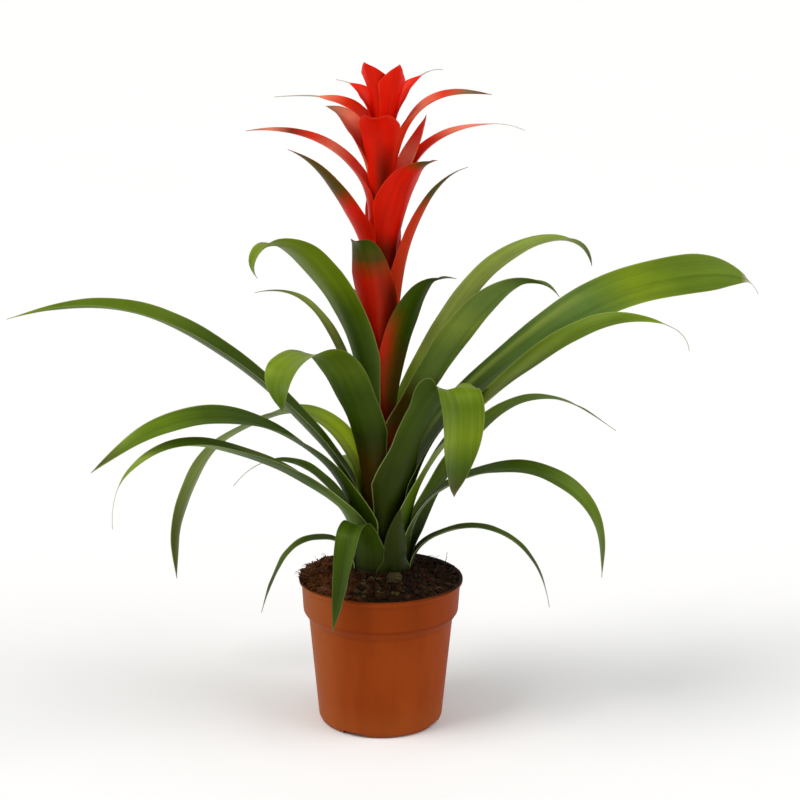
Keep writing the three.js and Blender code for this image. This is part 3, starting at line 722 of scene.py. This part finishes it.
def moss_material(settings):
    """The grey-green lumps: a soft, crumbly surface with darker pits."""
    paint = Paint("moss lump")
    tufts = paint.noise(paint.place(), 700, detail=5, rough=0.7)
    pale = linear(settings.soil.moss)
    return paint.finish({
        "Base Color": paint.mix(tufts.between(0.35, 0.65), darker(pale, 0.35), pale),
        "Roughness": 0.95,
        "Normal": paint.bump(tufts, 0.001, 0.8),
        "Specular IOR Level": 0.05,
    })


def stem_material(settings):
    """The stem's pale green skin with fine long ridges: red inside the flower head, and painted shade in
    dark olive, then the soil's dark brown, towards its foot."""
    paint = Paint("stem skin")
    place = paint.place()
    ridges = paint.noise(place, (900, 900, 12), detail=3)
    patches = paint.noise(place, (80, 80, 30), detail=3)
    height = paint.along("Z")
    pigments = settings.pigments
    brown = linear(pigments.bronze)
    skin = paint.mix(patches.between(0.55, 0.8) * 0.3, linear(pigments.light), brown)
    # painted shade: the core's shaded olive low on the stem
    skin = paint.mix(height.between(0.2, 0.14) * 0.92, skin, linear(pigments.core))
    skin = paint.mix(height.between(0.24, 0.36) * 0.8, skin, linear(pigments.maroon_and_painted_shade))
    skin = paint.mix(ridges.between(0.45, 0.7) * 0.3, skin, brown)
    skin = paint.mix(height.between(0.135, 0.119) * 0.85, skin, linear(settings.soil.dark))
    return paint.finish({
        "Base Color": skin,
        "Roughness": 0.5 + patches * 0.1,
        "Normal": paint.bump(ridges, 0.0002, 0.6),
        "Specular IOR Level": 0.12,
    })


def floor_material(settings):
    """A plain pale floor with the faintest unevenness."""
    paint = Paint("studio floor")
    cloud = paint.noise(paint.place(), 1.2)
    pale = linear(settings.studio.floor)
    return paint.finish({
        "Base Color": paint.mix(cloud, darker(pale, 0.985), pale),
        "Roughness": 0.85,
        "Specular IOR Level": 0.15,
    })


# ---- Making pieces ----

def piece_of(mesh, name, material):
    """An object of the scene, with this mesh and one material."""
    mesh.materials.append(material)
    piece = bpy.data.objects.new(name, mesh)
    bpy.context.scene.collection.objects.link(piece)
    return piece


def mesh_of(bm, name):
    """A mesh made from a bmesh, which is then spent."""
    mesh = bpy.data.meshes.new(name)
    bm.to_mesh(mesh)
    bm.free()
    return mesh


def piece_from(bm, name, material):
    return piece_of(mesh_of(bm, name), name, material)


def belongs(piece, slot, *nodes):
    """The piece rides with the plant and stands for CAD nodes, which are hidden. The slot is not used."""
    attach(piece, "root")
    if nodes:
        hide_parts(*nodes)


def smoothed(mesh, sharpest):
    """Shades a mesh smooth, apart from its edges sharper than this many degrees."""
    mesh.shade_smooth()
    mesh.set_sharp_from_angle(angle=math.radians(sharpest))


def spun(bm, outline, steps):
    """Spins an outline of (radius, z) pairs in millimetres about Z into the bmesh."""
    corners = [bm.verts.new((radius * MM, 0, z * MM)) for radius, z in outline]
    edges = [bm.edges.new(pair) for pair in zip(corners, corners[1:])]
    bmesh.ops.spin(
        bm, geom=corners + edges, cent=(0, 0, 0), axis=(0, 0, 1), angle=FULL_TURN, steps=steps,
        use_merge=True,
    )
    bmesh.ops.remove_doubles(bm, verts=bm.verts[:], dist=1e-6)
    bmesh.ops.recalc_face_normals(bm, faces=bm.faces[:])


def smooth_step(value, low, high):
    """0 at low, 1 at high and a smooth step between them."""
    share = np.clip((np.asarray(value, float) - low) / (high - low), 0, 1)
    return share * share * (3 - 2 * share)


def peak(value, middle, width):
    """1 at the middle, fading to nothing over a few widths on each side."""
    return np.exp(-(((value - middle) / width) ** 2))


# ---- Blades ----

def midrib(blade, radius, z, steps):
    """Points along a blade's midrib from a seat at this radius and height to its tip, and there the
    directions across it and up from its upper face, which looks at the stem while it is upright."""
    share = np.linspace(0, 1, steps + 1)
    az = math.radians(blade.az)
    turn = np.radians(blade.az + blade.drift * share**2)
    climb = np.radians(np.interp(share, np.linspace(0, 1, len(blade.climb)), blade.climb))
    ahead = np.stack([np.cos(climb) * np.cos(turn), np.cos(climb) * np.sin(turn), np.sin(climb)], 1)
    walked = np.cumsum(ahead[:-1] * (blade.length / steps), axis=0)
    at = np.array([radius * math.cos(az), radius * math.sin(az), z]) + np.vstack([np.zeros(3), walked])
    roll = (math.radians(blade.roll) * smooth_step(share, *ROLL_SPAN))[:, None]
    level = np.stack([-np.sin(turn), np.cos(turn), np.zeros_like(turn)], 1)
    side = level * np.cos(roll) + np.cross(ahead, level) * np.sin(roll)
    return share, at, side, np.cross(ahead, side)


def waviness(seed, share, rate):
    """A slow unsteady wave from -1 to 1 along a blade."""
    return np.array([noise.noise(Vector((s * rate, seed * 7.3, 0.5))) for s in share]) * 1.6


def half_width(blade, kind, share):
    """Half the width of a blade: a broader foot, the full width, then a pointed arch and any thread."""
    green = 1 - blade.tail
    narrowing = np.clip((share / green - blade.taper) / (1 - blade.taper), 0, 1)
    foot = 1 + kind.foot * (1 - smooth_step(share, *FOOT_SPAN))
    half = blade.width / 2 * foot * (1 - narrowing**ARCH_POWER)
    thread = THREAD_HALF * (1 - share**6) if blade.tail > 0.05 else 0
    return np.maximum(half, np.maximum(kind.tip_width / 2, thread))


def channel(blade, kind, seed, share, at):
    """Half the width along a blade, and the angle in radians that each half of its channel bends through.
    Near the stem the channel wraps around it, so that one blade sits inside the next."""
    half = half_width(blade, kind, share)
    half = half * (1 + 0.035 * smooth_step(share, *FREE_SPAN) * waviness(seed + 0.3, share, 9))
    wrap = math.radians(blade.wrap or kind.wrap)
    from_axis = np.hypot(at[:, 0], at[:, 1])
    half = np.minimum(half, wrap * from_axis)
    flattest = math.radians(blade.cup) * np.minimum(1, half / FLAT_HALF)
    arc = np.minimum(np.maximum(half / from_axis, flattest), wrap)
    pinch = blade.pinch * smooth_step(share, *PINCH_SPAN) * (1 - smooth_step(share, *UNPINCH_SPAN))
    return half * (1 - pinch), arc * (1 + 2.6 * pinch)


def flat_blade(name, kind):
    """A grid given its thickness. With its mesh come, for each point, its place across from -1 to 1, its
    station along, and 1 on the upper face or -1 underneath."""
    bm = bmesh.new()
    bmesh.ops.create_grid(bm, x_segments=kind.across, y_segments=kind.along, size=0.5)
    bmesh.ops.solidify(bm, geom=bm.faces[:], thickness=1)
    mesh = mesh_of(bm, name)
    flat = np.zeros(len(mesh.vertices) * 3)
    mesh.vertices.foreach_get("co", flat)
    x, y, z = flat.reshape(-1, 3).T
    across = -(x + np.sin(np.pi * x) / 2)  # closer together towards the edges
    station = np.rint((y + 0.5) * kind.along).astype(int)
    return mesh, across, station, np.where(z > z.mean(), 1, -1)


def liveliness(blade, kind, seed, share, station, across, half):
    """How far each point stands off the plain channel: the wave of the edges, the crease along the midrib
    and the corners at a sharp fold."""
    left, right, tilt = (waviness(seed + part, share, rate)[station]
                         for part, rate in ((4.1, 11), (1.7, 11), (6.2, 6)))
    wave = kind.wave * (across**2 * np.where(across > 0, right, left) + 0.4 * across * tilt)
    keel = blade.crease * half * np.exp(-np.abs(across) / KEEL_WIDTH)
    free = smooth_step(share, *FREE_SPAN)[station]
    fold, left_ear, right_ear = blade.ears
    ear = np.where(across > 0, right_ear, left_ear) * np.abs(across) ** 3
    ear = ear * peak(share[station], fold, EAR_LENGTH)
    return free * (wave - keel) * np.minimum(1, half / FLAT_HALF) + ear


def tints_along(letters, share, pigments):
    """The colour of a blade along its length, from its pigment letters."""
    stops = np.array([linear(getattr(pigments, PIGMENT_LETTERS[letter])) for letter in letters])
    places = np.linspace(0, 1, len(letters))
    return np.stack([np.interp(share, places, stops[:, part]) for part in range(3)], 1)


def tints_of(blade, pigments, share, across, upper, height):
    """The colour at each point of a blade."""
    tint = tints_along(blade.tint, share, pigments)
    under = tints_along(blade.under or blade.tint, share, pigments)
    tint = np.where(upper[:, None] > 0, tint, under)
    if blade.streak:
        letter, middle, width, begin, end = blade.streak
        band = peak(across, middle, width) * smooth_step(share, begin - 0.08, begin + 0.08)
        band *= 1 - smooth_step(share, end - 0.1, end + 0.1)
        tint += (tints_along(letter, share, pigments) - tint) * band[:, None]
    # darker towards the foot: partly grime, partly painted shade
    return tint * (0.45 + 0.55 * smooth_step(height, *GRIME_AND_PAINTED_SHADE))[:, None]


def add_layer(mesh, name, values):
    """Gives each point of a mesh a number, or a colour."""
    colour = np.ndim(values) == 2
    layer = mesh.attributes.new(name, "FLOAT_COLOR" if colour else "FLOAT", "POINT")
    layer.data.foreach_set("color" if colour else "value", np.ascontiguousarray(values, np.float32).ravel())


def blade_piece(name, blade, kind, radius, z, seed, material, pigments):
    """One leaf or bract: a flat blade that is bent onto its midrib, with the layers that colour it."""
    mesh, across, station, upper = flat_blade(name, kind)
    along, at, side, up = midrib(blade, radius, z, kind.along)
    half, arc = (values[station] for values in channel(blade, kind, seed, along, at))
    share = along[station]
    thick = kind.thick + (kind.tip_thick - kind.thick) * share
    wall = thick * np.maximum(1 - np.abs(across) ** 3, THIN_EDGE)
    bow = half / arc
    reach = bow - upper * wall / 2 - liveliness(blade, kind, seed, along, station, across, half)
    angle = across * arc
    point = (
        at[station]
        + side[station] * (reach * np.sin(angle))[:, None]
        + up[station] * (bow - reach * np.cos(angle))[:, None]
    )
    mesh.vertices.foreach_set("co", (point * MM).ravel())

    tint = tints_of(blade, pigments, share, across, upper, point[:, 2])
    add_layer(mesh, "tint", np.hstack([tint, np.ones((len(tint), 1))]))
    add_layer(mesh, "rim", (1 - np.abs(across)) * half * MM)
    add_layer(mesh, "middle", peak(across * half, 0, 0.7) * (half > 3))
    add_layer(mesh, "under", upper < 0)
    add_layer(mesh, "edging", blade.edging * (1.3 - 0.75 * smooth_step(share, 0.12, 0.5)))
    end = 1 - max(blade.tail, 0.02)
    add_layer(mesh, "dry", smooth_step(share, end - 0.035, end + 0.01) * (1 if blade.tail > 0.02 else 0.3))

    corner = np.zeros(len(mesh.loops), int)
    mesh.loops.foreach_get("vertex_index", corner)
    place = np.stack([across * half * MM + seed * 0.13, share * blade.length * MM + seed], 1)
    mesh.uv_layers.new(name="blade").data.foreach_set("uv", place[corner].ravel())
    mesh.update()
    smoothed(mesh, 55)
    return piece_of(mesh, name + "_blade", material)


def flower_radius_at(z):
    """The flower stem's radius at a height."""
    neck = SEAT.z + STEM.neck
    share = min(max((z - neck) / (STEM.top_z - neck), 0), 1)
    return STEM.radius + (STEM.top_radius - STEM.radius) * share


def cone_radius(z):
    """The radius of the leafy cone at a height, just inside the leaves."""
    return SEAT.radius - LEAF_CLEAR + (SEAT.z - z) / SEAT.drop * SEAT.widen


class BROMELIAD_OT_leaves(bpy.types.Operator):
    """Build the rosette's leaves"""

    bl_idname = "bromeliad.leaves"
    bl_label = "Leaves"

    def execute(self, context):
        settings = context.scene.bromeliad
        skin = skin_material(
            "leaf skin", settings, edge=(0.7, 0.74, 0.42), edge_share=0.6, underside_shade=0.76, sheen=(0.8, 1, 0.3),
            streaky=1.5,
        )
        for seed, (name, leaf) in enumerate(LEAVES.items()):
            radius = SEAT.radius + leaf.seat * SEAT.widen
            z = SEAT.z - leaf.seat * SEAT.drop
            piece = blade_piece(name, leaf, LEAF, radius, z, seed + 1, skin, settings.pigments)
            belongs(piece, "leaf", name)
        return {"FINISHED"}


class BROMELIAD_OT_bracts(bpy.types.Operator):
    """Build the flower head's bracts"""

    bl_idname = "bromeliad.bracts"
    bl_label = "Bracts"

    def execute(self, context):
        settings = context.scene.bromeliad
        # the bracts' pale edges are painted rim light, where light shines through them
        low = skin_material(
            "low bract skin", settings, edge=(0.62, 0.42, 0.22), edge_share=0.35, underside_shade=0.85,
            sheen=(1, 0.8, 0.4), streaky=1,
        )
        red = skin_material(
            "red bract skin", settings, edge=(0.95, 0.36, 0.18), edge_share=0.5, underside_shade=0.98,
            sheen=(1, 0.4, 0.25), streaky=0.7,
        )
        for seed, (name, bract) in enumerate(BRACTS.items()):
            skin, slot = (low, "low_bract") if seed < LOW_BRACTS else (red, "flower_bract")
            radius = flower_radius_at(bract.seat) + BRACT_CLEAR
            piece = blade_piece(name, bract, BRACT, radius, bract.seat, seed + 31, skin, settings.pigments)
            belongs(piece, slot, name)
        return {"FINISHED"}


# ---- Stem ----

class BROMELIAD_OT_stem(bpy.types.Operator):
    """Build the stem: the leafy cone and the flower stem inside the bracts"""

    bl_idname = "bromeliad.stem"
    bl_label = "Stem"

    def execute(self, context):
        settings = context.scene.bromeliad
        foot, radius, top = STEM.foot_z, STEM.foot_radius, STEM.top_z
        neck = SEAT.z + STEM.neck
        mound = settings.soil.mound_z / MM
        outline = [(0, foot), (radius - 1, foot), (radius, foot + 1), (radius, foot + STEM.foot_height)]
        outline += [(cone_radius(z), z) for z in np.linspace(mound, SEAT.z, 8)]
        outline += [(flower_radius_at(z), z) for z in np.linspace(neck, top - 3, 30)]
        outline += [(2.4, top - 1), (1.2, top - 0.1), (0, top)]
        bm = bmesh.new()
        spun(bm, outline, 40)
        piece = piece_from(bm, "flower_stem_skin", stem_material(settings))
        smoothed(piece.data, 50)
        belongs(piece, "stem", "flower_stem")
        return {"FINISHED"}


# ---- Pot ----

def pot_inside(pot, z):
    """The pot's inner radius in millimetres at a height, for its wall and the soil in it."""
    heights = (POT.corner_z, POT.shoulder_z, POT.collar_z, pot.height / MM)
    radii = (POT.foot, POT.shoulder, POT.collar, POT.collar_top)
    return float(np.interp(z, heights, radii)) - pot.wall / MM


def rounded(outline, radius, segments=3):
    """An outline with each inner corner cut back and rounded, so that no moulded edge is knife sharp."""
    made = [outline[0]]
    for before, corner, after in zip(outline, outline[1:], outline[2:]):
        a, b, c = Vector(before), Vector(corner), Vector(after)
        near = min(radius, (a - b).length * 0.45, (c - b).length * 0.45)
        start, end = b + (a - b).normalized() * near, b + (c - b).normalized() * near
        for i in range(segments + 1):
            t = i / segments
            made.append(tuple(start * (1 - t) ** 2 + b * 2 * t * (1 - t) + end * t**2))
    return made + [outline[-1]]


def cut_by(piece, bm):
    """Cuts a bmesh out of a piece for good."""
    cutter = piece_from(bm, "cutter", piece.data.materials[0])
    modifier = piece.modifiers.new("cut", "BOOLEAN")
    modifier.operation = "DIFFERENCE"
    modifier.solver = "EXACT"
    modifier.object = cutter
    evaluated = piece.evaluated_get(bpy.context.evaluated_depsgraph_get())
    mesh = bpy.data.meshes.new_from_object(evaluated)
    piece.modifiers.remove(modifier)
    piece.data = mesh
    bpy.data.objects.remove(cutter)


class BROMELIAD_OT_pot(bpy.types.Operator):
    """Build the moulded nursery pot with its collar, foot ring, notches and drainage holes"""

    bl_idname = "bromeliad.pot"
    bl_label = "Pot"

    def execute(self, context):
        settings = context.scene.bromeliad
        pot = settings.pot
        bm = bmesh.new()
        spun(bm, rounded(self.outline(pot), 0.8), 144)
        piece = piece_from(bm, "pot_shell", plastic_material(settings))
        cut_by(piece, self.drain_holes(pot))
        cut_by(piece, self.notches())
        smoothed(piece.data, 38)
        belongs(piece, "pot_plastic", "pot")
        return {"FINISHED"}

    def outline(self, pot):
        """The wall's section in millimetres, from the middle of the underside round to the floor's top."""
        height, lip = pot.height / MM, pot.lip_radius / MM
        lip_foot = height - POT.lip_height
        floor_top = POT.floor_z + pot.wall / MM
        return [
            (0, 0), (POT.hub, 0), (POT.hub + 2, POT.floor_z), (POT.ring - 2, POT.floor_z), (POT.ring, 0),
            (POT.foot - 3.7, 0), (POT.foot - 1.4, 1), (POT.foot, POT.corner_z + 0.2),
            (POT.shoulder, POT.shoulder_z - 0.5), (POT.shoulder + 0.3, POT.shoulder_z + 1.5),
            (POT.collar - 0.2, POT.collar_z - 1.4), (POT.collar, POT.collar_z + 0.5),
            (POT.collar_top, lip_foot - 1), (lip, lip_foot), (lip, height),
            *((pot_inside(pot, z), z) for z in (height, POT.collar_z, POT.shoulder_z, floor_top)),
            (0, floor_top),
        ]

    def drain_holes(self, pot):
        bm = bmesh.new()
        for i in range(DRAIN.count):
            turn = Matrix.Rotation(i / DRAIN.count * FULL_TURN, 4, "Z")
            bmesh.ops.create_cone(
                bm, cap_ends=True, segments=32, radius1=pot.drain_radius, radius2=pot.drain_radius,
                depth=4 * POT.floor_z * MM,
                matrix=turn @ Matrix.Translation((DRAIN.ring * MM, 0, POT.floor_z * MM)),
            )
        return bm

    def notches(self):
        bm = bmesh.new()
        size = Matrix.Diagonal((NOTCH.length * MM, NOTCH.width * MM, 2 * NOTCH.height * MM, 1))
        for i in range(NOTCH.count):
            turn = Matrix.Rotation(math.radians(NOTCH.turn) + i / NOTCH.count * FULL_TURN, 4, "Z")
            place = turn @ Matrix.Translation((NOTCH.ring * MM, 0, 0)) @ size
            made = bmesh.ops.create_cube(bm, matrix=place)
            edges = list({edge for vert in made["verts"] for edge in vert.link_edges})
            bmesh.ops.bevel(
                bm, geom=edges, offset=0.0011, segments=3, profile=0.5, affect="EDGES", material=-1,
            )
        return bm


# ---- Soil ----

def soil_height(soil, x, y):
    """The soil's height in millimetres at a place: a mound, lumps, small unevenness and the heap."""
    out = math.hypot(x, y)
    edge, mound = soil.edge_z / MM, soil.mound_z / MM
    rise = smooth_step(SOIL.slope_foot - out, 0, SOIL.slope_foot - SOIL.mound)
    calm = smooth_step(out, *SOIL.calm)
    lumps = math.sin(x * 0.31 + 1.3) * math.cos(y * 0.27) + 0.6 * math.sin(x * 0.17 - y * 0.43)
    rough = noise.fractal(Vector((x, y, 3)) * 0.16, 0.8, 2.1, 4)
    heap = smooth_step(-x, *SOIL.heap_left) * smooth_step(out, *SOIL.heap_out)
    uneven = SOIL.lump * lumps + SOIL.rough * rough + SOIL.heap * heap
    return float(edge + (mound - edge) * rise + calm * uneven)


def scattered(dice, inner, outer):
    """A chance place in a ring, evenly spread, in millimetres."""
    turn = dice.uniform(0, FULL_TURN)
    out = math.sqrt(dice.uniform(inner**2, outer**2))
    return out * math.cos(turn), out * math.sin(turn)


def thread_mesh(name, paths):
    """Thin rounded threads along these paths, each a list of points and a radius in millimetres."""
    curve = bpy.data.curves.new(name, "CURVE")
    curve.dimensions = "3D"
    curve.bevel_depth = MM
    curve.bevel_resolution = 0
    curve.use_fill_caps = True
    for points, radius in paths:
        spline = curve.splines.new("POLY")
        spline.points.add(len(points) - 1)
        for i, point in enumerate(points):
            spline.points[i].co = (*(c * MM for c in point), 1)
            spline.points[i].radius = radius * (1 - 0.55 * i / (len(points) - 1))
    holder = bpy.data.objects.new(name, curve)
    bpy.context.scene.collection.objects.link(holder)
    mesh = bpy.data.meshes.new_from_object(holder.evaluated_get(bpy.context.evaluated_depsgraph_get()))
    bpy.data.objects.remove(holder)
    mesh.materials.clear()
    return mesh


def fibre_path(dice, soil, start, heading, length, rise):
    """A bent thread that starts on the soil and wanders over it, or stands off it by its rise."""
    steps = 7
    x, y = start
    points = []
    for i in range(steps):
        share = i / (steps - 1)
        z = soil_height(soil, x, y) + 0.3 + rise * share + dice.uniform(-0.2, 0.5)
        points.append((x, y, z))
        heading += dice.uniform(-0.45, 0.45)
        x += math.cos(heading) * length / steps
        y += math.sin(heading) * length / steps
        back = BED_FIBRES.farthest / max(math.hypot(x, y), BED_FIBRES.farthest)
        x, y = x * back, y * back
    return points


def rim_path(dice, turn):
    """A thread that sticks out over the pot's rim at this turn, in degrees."""
    way = math.radians(turn)
    start = Vector((RIM_FIBRES.out * math.cos(way), RIM_FIBRES.out * math.sin(way), RIM_FIBRES.z))
    skew = math.radians(turn + dice.uniform(-65, 65))
    out = Vector((math.cos(skew), math.sin(skew), 0)) * dice.uniform(*RIM_FIBRES.lengths)
    lift, bend = dice.uniform(-1.5, 3.5), dice.uniform(0.5, 3)
    return [start + out * s + Vector((0, 0, lift * s + bend * math.sin(3 * s)))
            for s in (0, 0.2, 0.4, 0.6, 0.8, 1)]


class BROMELIAD_OT_soil(bpy.types.Operator):
    """Build the peat: its bed, loose crumbs, fibres and the mossy lumps"""

    bl_idname = "bromeliad.soil"
    bl_label = "Soil"

    def execute(self, context):
        settings = context.scene.bromeliad
        soil = settings.soil
        dice = random.Random(11)
        peat = peat_material("peat", soil.dark, soil.light, side_difference=1)
        self.bed(soil, settings.pot, peat)
        self.crumbs(soil, settings.pot, dice, peat)
        self.fibres(soil, dice)
        self.moss(settings, dice)
        return {"FINISHED"}

    def bed(self, soil, pot, peat):
        bottom = POT.floor_z + pot.wall / MM + GAP
        edge, mound = soil.edge_z / MM, soil.mound_z / MM
        heights = (bottom, POT.shoulder_z, POT.collar_z, STEM.foot_z - 2)
        side = [(pot_inside(pot, z) - GAP, z) for z in heights]
        radii = np.linspace(pot_inside(pot, edge) - GAP, SOIL.inmost, 34)
        top = [(radius, soil_height(soil, radius, 0)) for radius in radii]
        round_foot, under_foot = STEM.foot_radius + GAP, STEM.foot_z - GAP
        pocket = [
            (cone_radius(mound) + GAP, mound), (round_foot, STEM.foot_z + STEM.foot_height),
            (round_foot, under_foot), (0, under_foot),
        ]
        bm = bmesh.new()
        spun(bm, [(0, bottom), *side, *top, *pocket], 150)
        for vert in bm.verts:
            x, y, z = vert.co / MM
            if z > STEM.foot_z and math.hypot(x, y) > SOIL.inmost - 0.5:
                vert.co.z = soil_height(soil, x, y) * MM
        piece = piece_from(bm, "soil_bed", peat)
        smoothed(piece.data, 60)
        belongs(piece, "peat", "soil")

    def crumbs(self, soil, pot, dice, peat):
        """Crumbs on the bed, banked up against the leaves, and spilt on the lip, mostly at the left."""
        bm = bmesh.new()
        rings = (BED_RING, soil.crumbs), (BANK_RING, soil.banked), (LIP_RING, soil.spilt)
        for x, y in [scattered(dice, *ring) for ring, count in rings for _ in range(count)]:
            spilt = math.hypot(x, y) > BED_RING[1]
            to_left = float(smooth_step(-x, 12, 44))
            if spilt and dice.random() > 0.25 + 0.75 * to_left:
                continue
            size = dice.choice(CRUMB_SIZES) * dice.uniform(0.8, 1.25)
            if spilt:
                size = min(size, 0.35 + 0.75 * to_left)
            stretch = [size * dice.uniform(0.6, 1.3) * MM for _ in range(3)]
            turn = Euler([dice.uniform(0, FULL_TURN) for _ in range(3)]).to_matrix().to_4x4()
            level = pot.height / MM + 0.6 * dice.random() if spilt else soil_height(soil, x, y)
            place = Matrix.Translation(Vector((x, y, level + size * 0.35)) * MM)
            made = bmesh.ops.create_icosphere(
                bm, subdivisions=1, radius=1, matrix=place @ turn @ Matrix.Diagonal((*stretch, 1)),
            )
            for vert in made["verts"]:
                vert.co += Vector([dice.uniform(-0.18, 0.18) * size * MM for _ in range(3)])
        belongs(piece_from(bm, "soil_crumbs", peat), "peat")

    def fibres(self, soil, dice):
        """Fibres that lie on the bed, stick out over the rim, mostly at the left, and one that stands."""
        paths = []
        for _ in range(soil.fibres):
            start = scattered(dice, *BED_FIBRES.ring)
            length = dice.uniform(*BED_FIBRES.lengths)
            rise = dice.choice(BED_FIBRES.rises)
            path = fibre_path(dice, soil, start, dice.uniform(0, FULL_TURN), length, rise)
            paths.append((path, dice.uniform(*BED_FIBRES.radii)))
        for arc, count in RIM_FIBRES.arcs:
            for _ in range(count):
                path = rim_path(dice, dice.uniform(*arc))
                paths.append((path, dice.uniform(*RIM_FIBRES.radii)))
        paths.append(STANDING_FIBRE)
        skin = peat_material("peat fibre", darker(soil.fibre, 0.55), soil.fibre, side_difference=0.7)
        belongs(piece_of(thread_mesh("fibres", paths), "soil_fibres", skin), "peat")

    def moss(self, settings, dice):
        """One mossy lump at the front and a few specks around it."""
        bm = bmesh.new()
        specks = [(*scattered(dice, *MOSS.ring), dice.uniform(*MOSS.sizes)) for _ in range(MOSS.tries)]
        for x, y, size in [MOSS.lump] + specks:
            if not MOSS.left < x < MOSS.right or y > MOSS.nearest:
                continue
            centre = Vector((x, y, soil_height(settings.soil, x, y) + size * 0.35)) * MM
            squat = Matrix.Diagonal([*(size * MM * share for share in (1, 0.8, 0.7)), 1])
            place = Matrix.Translation(centre) @ squat
            made = bmesh.ops.create_icosphere(bm, subdivisions=4 if size > 5 else 3, radius=1, matrix=place)
            for vert in made["verts"]:
                out = (vert.co - centre).normalized()
                vert.co += out * noise.fractal(vert.co * 520, 0.9, 2, 4) * size * 0.00022
        piece = piece_from(bm, "soil_moss_lump", moss_material(settings))
        piece.data.shade_smooth()
        belongs(piece, "peat")


# ---- Studio ----

def sun(name, azimuth, elevation, strength, spread, tone=(1, 1, 1)):
    """A soft sun that shines from an azimuth and elevation, in degrees, onto the middle of the scene."""
    light = bpy.data.lights.new(name, "SUN")
    light.energy = strength
    light.angle = math.radians(spread)
    light.color = tone
    lamp = bpy.data.objects.new(name, light)
    az, el = math.radians(azimuth), math.radians(elevation)
    from_there = Vector((math.cos(az) * math.cos(el), math.sin(az) * math.cos(el), math.sin(el)))
    lamp.rotation_euler = from_there.to_track_quat("Z", "Y").to_euler()
    lamp.location = from_there * 3
    bpy.context.scene.collection.objects.link(lamp)


class BROMELIAD_OT_studio(bpy.types.Operator):
    """Set up the floor, the lights and the camera"""

    bl_idname = "bromeliad.studio"
    bl_label = "Studio"

    def execute(self, context):
        settings = context.scene.bromeliad
        context.scene.view_settings.view_transform = "Standard"
        bm = bmesh.new()
        bmesh.ops.create_circle(bm, cap_ends=True, segments=96, radius=14)
        piece_from(bm, "studio_floor", floor_material(settings))
        self.lights(context.scene, settings.studio)
        self.camera(context.scene)
        return {"FINISHED"}

    def lights(self, scene, studio):
        world = bpy.data.worlds.new("studio air")
        world.use_nodes = True
        air = world.node_tree.nodes["Background"]
        air.inputs["Color"].default_value = (1, 1, 1, 1)
        air.inputs["Strength"].default_value = studio.sky
        scene.world = world
        sun("key", azimuth=-154, elevation=54, strength=studio.key, spread=30, tone=(1, 0.98, 0.95))
        sun("fill", azimuth=-20, elevation=50, strength=studio.fill, spread=40)
        sun("side left", azimuth=192, elevation=20, strength=studio.side, spread=70)
        sun("side right", azimuth=-8, elevation=22, strength=studio.side * 0.7, spread=70)

    def camera(self, scene):
        camera = bpy.data.cameras.new("photo camera")
        camera.sensor_width = 36
        camera.lens = CAMERA.lens
        camera.clip_start = 0.05
        camera.clip_end = 60
        eye = bpy.data.objects.new("photo camera", camera)
        eye.location = CAMERA.place
        eye.rotation_euler = [math.radians(angle) for angle in CAMERA.turn]
        scene.collection.objects.link(eye)
        scene.camera = eye


# ---- Panel and registration ----

OPERATORS = (
    BROMELIAD_OT_studio,
    BROMELIAD_OT_pot,
    BROMELIAD_OT_soil,
    BROMELIAD_OT_stem,
    BROMELIAD_OT_leaves,
    BROMELIAD_OT_bracts,
)
GROUPS = ("pigments", "blades", "pot", "soil", "studio")


class BROMELIAD_PT_pieces(bpy.types.Panel):
    """The plant's pieces and their settings"""

    bl_label = "Potted bromeliad"
    bl_idname = "BROMELIAD_PT_pieces"
    bl_space_type = "VIEW_3D"
    bl_region_type = "UI"
    bl_category = "Bromeliad"

    def draw(self, context):
        for operator in OPERATORS:
            self.layout.operator(operator.bl_idname)
        for name in GROUPS:
            box = self.layout.box()
            box.label(text=name.capitalize())
            group = getattr(context.scene.bromeliad, name)
            for key in group.bl_rna.properties.keys():
                if key not in ("rna_type", "name"):
                    box.prop(group, key)


CLASSES = (
    BromeliadPigments,
    BromeliadBlades,
    BromeliadPot,
    BromeliadSoil,
    BromeliadStudio,
    BromeliadSettings,
    *OPERATORS,
    BROMELIAD_PT_pieces,
)


def register():
    for cls in CLASSES:
        bpy.utils.register_class(cls)
    bpy.types.Scene.bromeliad = bpy.props.PointerProperty(type=BromeliadSettings)


def unregister():
    del bpy.types.Scene.bromeliad
    for cls in reversed(CLASSES):
        bpy.utils.unregister_class(cls)


def main():
    register()
    bpy.ops.bromeliad.studio()
    bpy.ops.bromeliad.pot()
    bpy.ops.bromeliad.soil()
    bpy.ops.bromeliad.stem()
    bpy.ops.bromeliad.leaves()
    bpy.ops.bromeliad.bracts()


if __name__ == "__main__":
    main()
